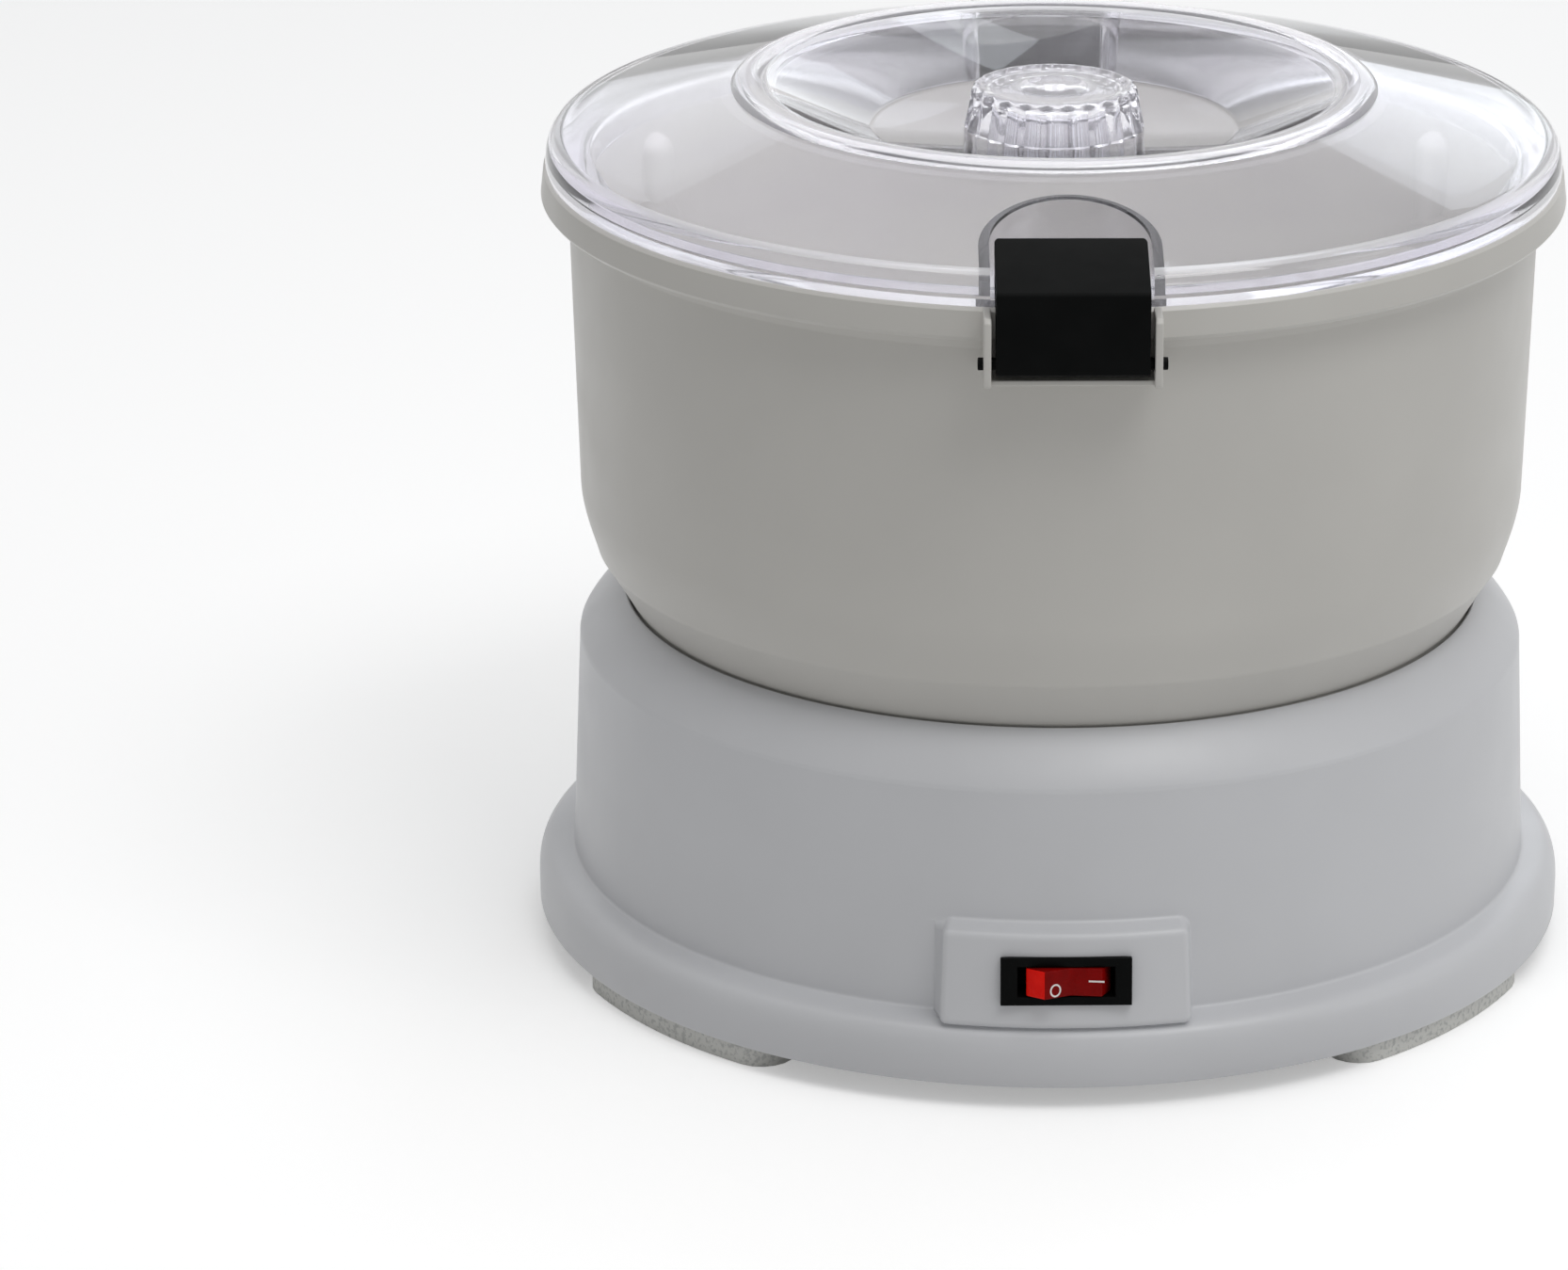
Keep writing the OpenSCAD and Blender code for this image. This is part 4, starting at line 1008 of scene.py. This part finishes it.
def disc_outline():
    """The disc's section: rim, hub and crown, with the shaft's bore."""
    hub = bezier((27, 97.2), (24.5, 98.2), (24, 101.2), (24, 106.2), 8)
    crown = bezier((24, 110), (24, 114), (20, 116), (14, 116), 10)
    rim = [(21, 94), (105, 94, 0.6), (105, 99, 0.8), (102.5, 99, 0.6), (100.5, 97.2, 0.8)]
    return rim + hub + crown + [(0, 116), (0, 113), (7.5, 113), (7.5, 99), (10, 99), (10, 113), (21, 113)]


def hump():
    """One rounded hump of the disc, along +X."""
    r, near, far = 9, 36, 92
    bar = turned([*arc(0, near, r, -90, 0, 12), *arc(0, far, r, 0, 90, 12), (0, far + r)], 64)
    bar.transform(Matrix.Translation((0, 0, 92 * MM)) @ Matrix.Rotation(math.pi / 2, 4, "Y"))
    return carved(bar, block((20, -12, 94.5), (110, 12, 110)), operation="INTERSECT")


def blade(s):
    """One pierced plate with raised teeth, along +X."""
    tooth = turned([(1.6, 0.0), (2.9, 0.2), (2.5, 1.2), (2.1, 2.1), (1.75, 2.1), (1.6, 1.2)], 24)
    plate = grown("grater", tooth, finish("stainless"), length=62 * MM, width=26 * MM, thickness=0.8 * MM,
                  rows=s.rows, columns=s.columns, pitch=9.6 * MM, hole_radius=1.6 * MM)
    return placed(plate, Matrix.Translation((61 * MM, 0, 97.2 * MM)))


class PeelerDisc(bpy.types.Operator):
    """The peeling disc with its humps and the three grater plates"""

    bl_idname = "peeler.disc"
    bl_label = "Peeling disc"

    def execute(self, context):
        s = context.scene.peeler_disc
        disc = joined(turned(disc_outline(), 192), ringed(hump(), s.blade_count))
        add_piece("disc", disc, "disc", "disc_plastic", replaces=["peeling_disc"])
        plates = ringed(blade(s), s.blade_count, 180 / s.blade_count)
        add_piece("grater_plates", plates, "disc", "stainless", replaces=["peeling_blades"])
        return {"FINISHED"}


class PeelerSmallParts(bpy.types.Operator):
    """Rounds the edges of the feet, pins, gland and screws"""

    bl_idname = "peeler.small_parts"
    bl_label = "Small parts"

    def execute(self, context):
        for node, width in (("feet", 0.6), ("front_latch_pin", 0.25), ("rear_latch_pin", 0.25),
                            ("cord_gland", 0.4), ("base_screws", 0.2), ("blade_screws", 0.2)):
            softened(node, width)
        return {"FINISHED"}


class StageSettings(bpy.types.PropertyGroup):
    distance: FloatProperty(name="Distance", description="Camera's distance from the axis, along the floor",
                            default=1.569, unit="LENGTH")
    height: FloatProperty(name="Height", description="Camera's height above the floor", default=0.650,
                          unit="LENGTH")
    pitch: FloatProperty(name="Pitch", description="How far the camera looks down",
                         default=math.radians(20.16), subtype="ANGLE")
    turn: FloatProperty(name="Turn", description="How far the camera stands to the left of the front",
                        default=math.radians(2.1), subtype="ANGLE")
    roll: FloatProperty(name="Roll", description="How far the camera is tipped sideways",
                        default=math.radians(0.5), subtype="ANGLE")
    focal_px: FloatProperty(name="Focal length", description="Focal length in pixels of the photograph",
                            default=6953.0)
    centre_x: FloatProperty(name="Centre X", description="Pixel column that the camera points at",
                            default=1115.3)
    key: FloatProperty(name="Key light", description="Power of the large lamp overhead", default=11.0)
    front: FloatProperty(name="Front light", description="Power of the lamp high in front", default=10.5)
    fill: FloatProperty(name="Side light", description="Power of the lamp on the right", default=3.0)
    windows: FloatProperty(name="Window lights", description="Power that the lamps behind have shares of",
                           default=2.6)
    sky: FloatProperty(name="Sky", description="Strength of the even light all round", default=0.3)


def make_camera(s):
    data = bpy.data.cameras.new("camera")
    data.sensor_fit = "HORIZONTAL"
    data.sensor_width = 36.0
    data.lens = s.focal_px / PHOTO_W * data.sensor_width
    data.shift_x = -(s.centre_x - PHOTO_W / 2) / PHOTO_W
    data.clip_end = 50.0
    camera = bpy.data.objects.new("camera", data)
    place = Matrix.Rotation(-s.turn, 4, "Z") @ Matrix.Translation((0, -s.distance, s.height))
    aimed = place @ Matrix.Rotation(math.pi / 2 - s.pitch, 4, "X")
    camera.matrix_world = aimed @ Matrix.Rotation(s.roll, 4, "Z")
    bpy.context.scene.collection.objects.link(camera)
    bpy.context.scene.camera = camera


def seen_directly(tree):
    """1 for rays from the camera, a mirror or glass, and 0 for the light that reaches the object."""
    rays = add_node(tree, "ShaderNodeLightPath").outputs
    first = calc(tree, "MAXIMUM", rays["Is Camera Ray"], rays["Is Glossy Ray"])
    return calc(tree, "MAXIMUM", first, rays["Is Transmission Ray"])


def make_floor():
    """A pale matt sheet that shows white and keeps the object's shadow."""
    material, tree = new_material("studio_paper")
    pale = add_node(tree, "ShaderNodeBsdfDiffuse", {"Color": linear("#f2f2f2")})
    glow = add_node(tree, "ShaderNodeEmission", {"Color": (1, 1, 1, 1), "Strength": 0.35})
    lit = add_node(tree, "ShaderNodeAddShader", {0: pale, 1: glow})
    closed(material, add_node(tree, "ShaderNodeMixShader", {0: seen_directly(tree), 1: pale, 2: lit}))
    mesh = bpy.data.meshes.new("floor")
    bm = bmesh.new()
    bmesh.ops.create_circle(bm, cap_ends=True, radius=14.0, segments=96)
    bm.to_mesh(mesh)
    bm.free()
    floor = bpy.data.objects.new("floor", mesh)
    mesh.materials.append(material)
    bpy.context.scene.collection.objects.link(floor)


def make_sky(strength):
    """A world that shows white and gives even light of the strength all round."""
    world = bpy.data.worlds.new("studio")
    world.use_nodes = True
    tree = world.node_tree
    tree.nodes.clear()
    even = add_node(tree, "ShaderNodeBackground", {"Color": (1, 1, 1, 1), "Strength": strength})
    white = add_node(tree, "ShaderNodeBackground", {"Color": (1, 1, 1, 1), "Strength": 1.0})
    mix = add_node(tree, "ShaderNodeMixShader", {0: seen_directly(tree), 1: even, 2: white})
    add_node(tree, "ShaderNodeOutputWorld", {"Surface": mix})
    bpy.context.scene.world = world


def make_lamp(name, size, power, place, colour=(1, 1, 1)):
    """A rectangular lamp aimed at the middle of the lid."""
    data = bpy.data.lights.new(name, "AREA")
    data.color = colour
    data.shape = "RECTANGLE"
    data.size, data.size_y = size
    data.energy = power
    lamp = bpy.data.objects.new(name, data)
    lamp.location = place
    lamp.rotation_euler = (Vector(LIT_POINT) - Vector(place)).to_track_quat("-Z", "Y").to_euler()
    bpy.context.scene.collection.objects.link(lamp)


def make_lamps(s):
    """A large soft lamp overhead, one in front, one on the right, and three behind that the lid mirrors."""
    make_lamp("overhead", (1.6, 1.8), s.key, (0.1, -0.2, 1.9))
    make_lamp("front", (1.2, 0.8), s.front, (0.75, -1.05, 2.05))
    make_lamp("right", (1.0, 1.0), s.fill, (1.9, -0.7, 0.9))
    for name, side, up, size, share in (
        ("left_window", -14, 17.5, (0.5, 1.06), 0.22),
        ("right_window", 16, 17.5, (0.5, 1.06), 0.6),
        ("high_window", 30, 62, (0.7, 0.45), 0.8),
    ):
        turn, rise = math.radians(side), math.radians(up)
        along = Vector((math.sin(turn) * math.cos(rise), math.cos(turn) * math.cos(rise), math.sin(rise)))
        make_lamp(name, size, s.windows * share, along * 2.2 + Vector(LIT_POINT), (0.88, 0.94, 1.0))


class PeelerStage(bpy.types.Operator):
    """Floor, soft studio light and the camera at the photograph's angle"""

    bl_idname = "peeler.stage"
    bl_label = "Stage"

    def execute(self, context):
        s = context.scene.peeler_stage
        make_camera(s)
        make_floor()
        make_sky(s.sky)
        make_lamps(s)
        context.scene.view_settings.view_transform = "Standard"
        return {"FINISHED"}


class PeelerFinishes(bpy.types.Operator):
    """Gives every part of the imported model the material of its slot"""

    bl_idname = "peeler.finishes"
    bl_label = "Finishes"

    def execute(self, context):
        for part in frame["record"]["subparts"]:
            mesh = frame["nodes"][part["node"]].data
            material = finish(part["material_slot"])
            if not mesh.materials:
                mesh.materials.append(material)
            for i in range(len(mesh.materials)):
                mesh.materials[i] = material
        return {"FINISHED"}


class PeelerPanel(bpy.types.Panel):
    """Lists the peeler's operators, and the sizes and colours that they use"""

    bl_label = "Potato peeler"
    bl_idname = "VIEW3D_PT_peeler"
    bl_space_type = "VIEW_3D"
    bl_region_type = "UI"
    bl_category = "Peeler"

    def draw(self, context):
        for operator in OPERATORS:
            self.layout.operator(operator.bl_idname)
        for name, group in SETTINGS:
            for key in group.__annotations__:
                self.layout.prop(getattr(context.scene, name), key)


OPERATORS = (
    PeelerStage,
    PeelerFinishes,
    PeelerHousing,
    PeelerBowl,
    PeelerLid,
    PeelerLatches,
    PeelerSwitch,
    PeelerDisc,
    PeelerSmallParts,
)
SETTINGS = (
    ("peeler_stage", StageSettings),
    ("peeler_housing", HousingSettings),
    ("peeler_bowl", BowlSettings),
    ("peeler_lid", LidSettings),
    ("peeler_latch", LatchSettings),
    ("peeler_switch", SwitchSettings),
    ("peeler_disc", DiscSettings),
)


def register():
    for name, group in SETTINGS:
        bpy.utils.register_class(group)
        setattr(bpy.types.Scene, name, PointerProperty(type=group))
    for operator in OPERATORS:
        bpy.utils.register_class(operator)
    bpy.utils.register_class(PeelerPanel)


def unregister():
    bpy.utils.unregister_class(PeelerPanel)
    for operator in reversed(OPERATORS):
        bpy.utils.unregister_class(operator)
    for name, group in reversed(SETTINGS):
        delattr(bpy.types.Scene, name)
        bpy.utils.unregister_class(group)


def main():
    register()
    for operator in OPERATORS:
        group, call = operator.bl_idname.split(".")
        getattr(getattr(bpy.ops, group), call)()


if __name__ == "__main__":
    main()
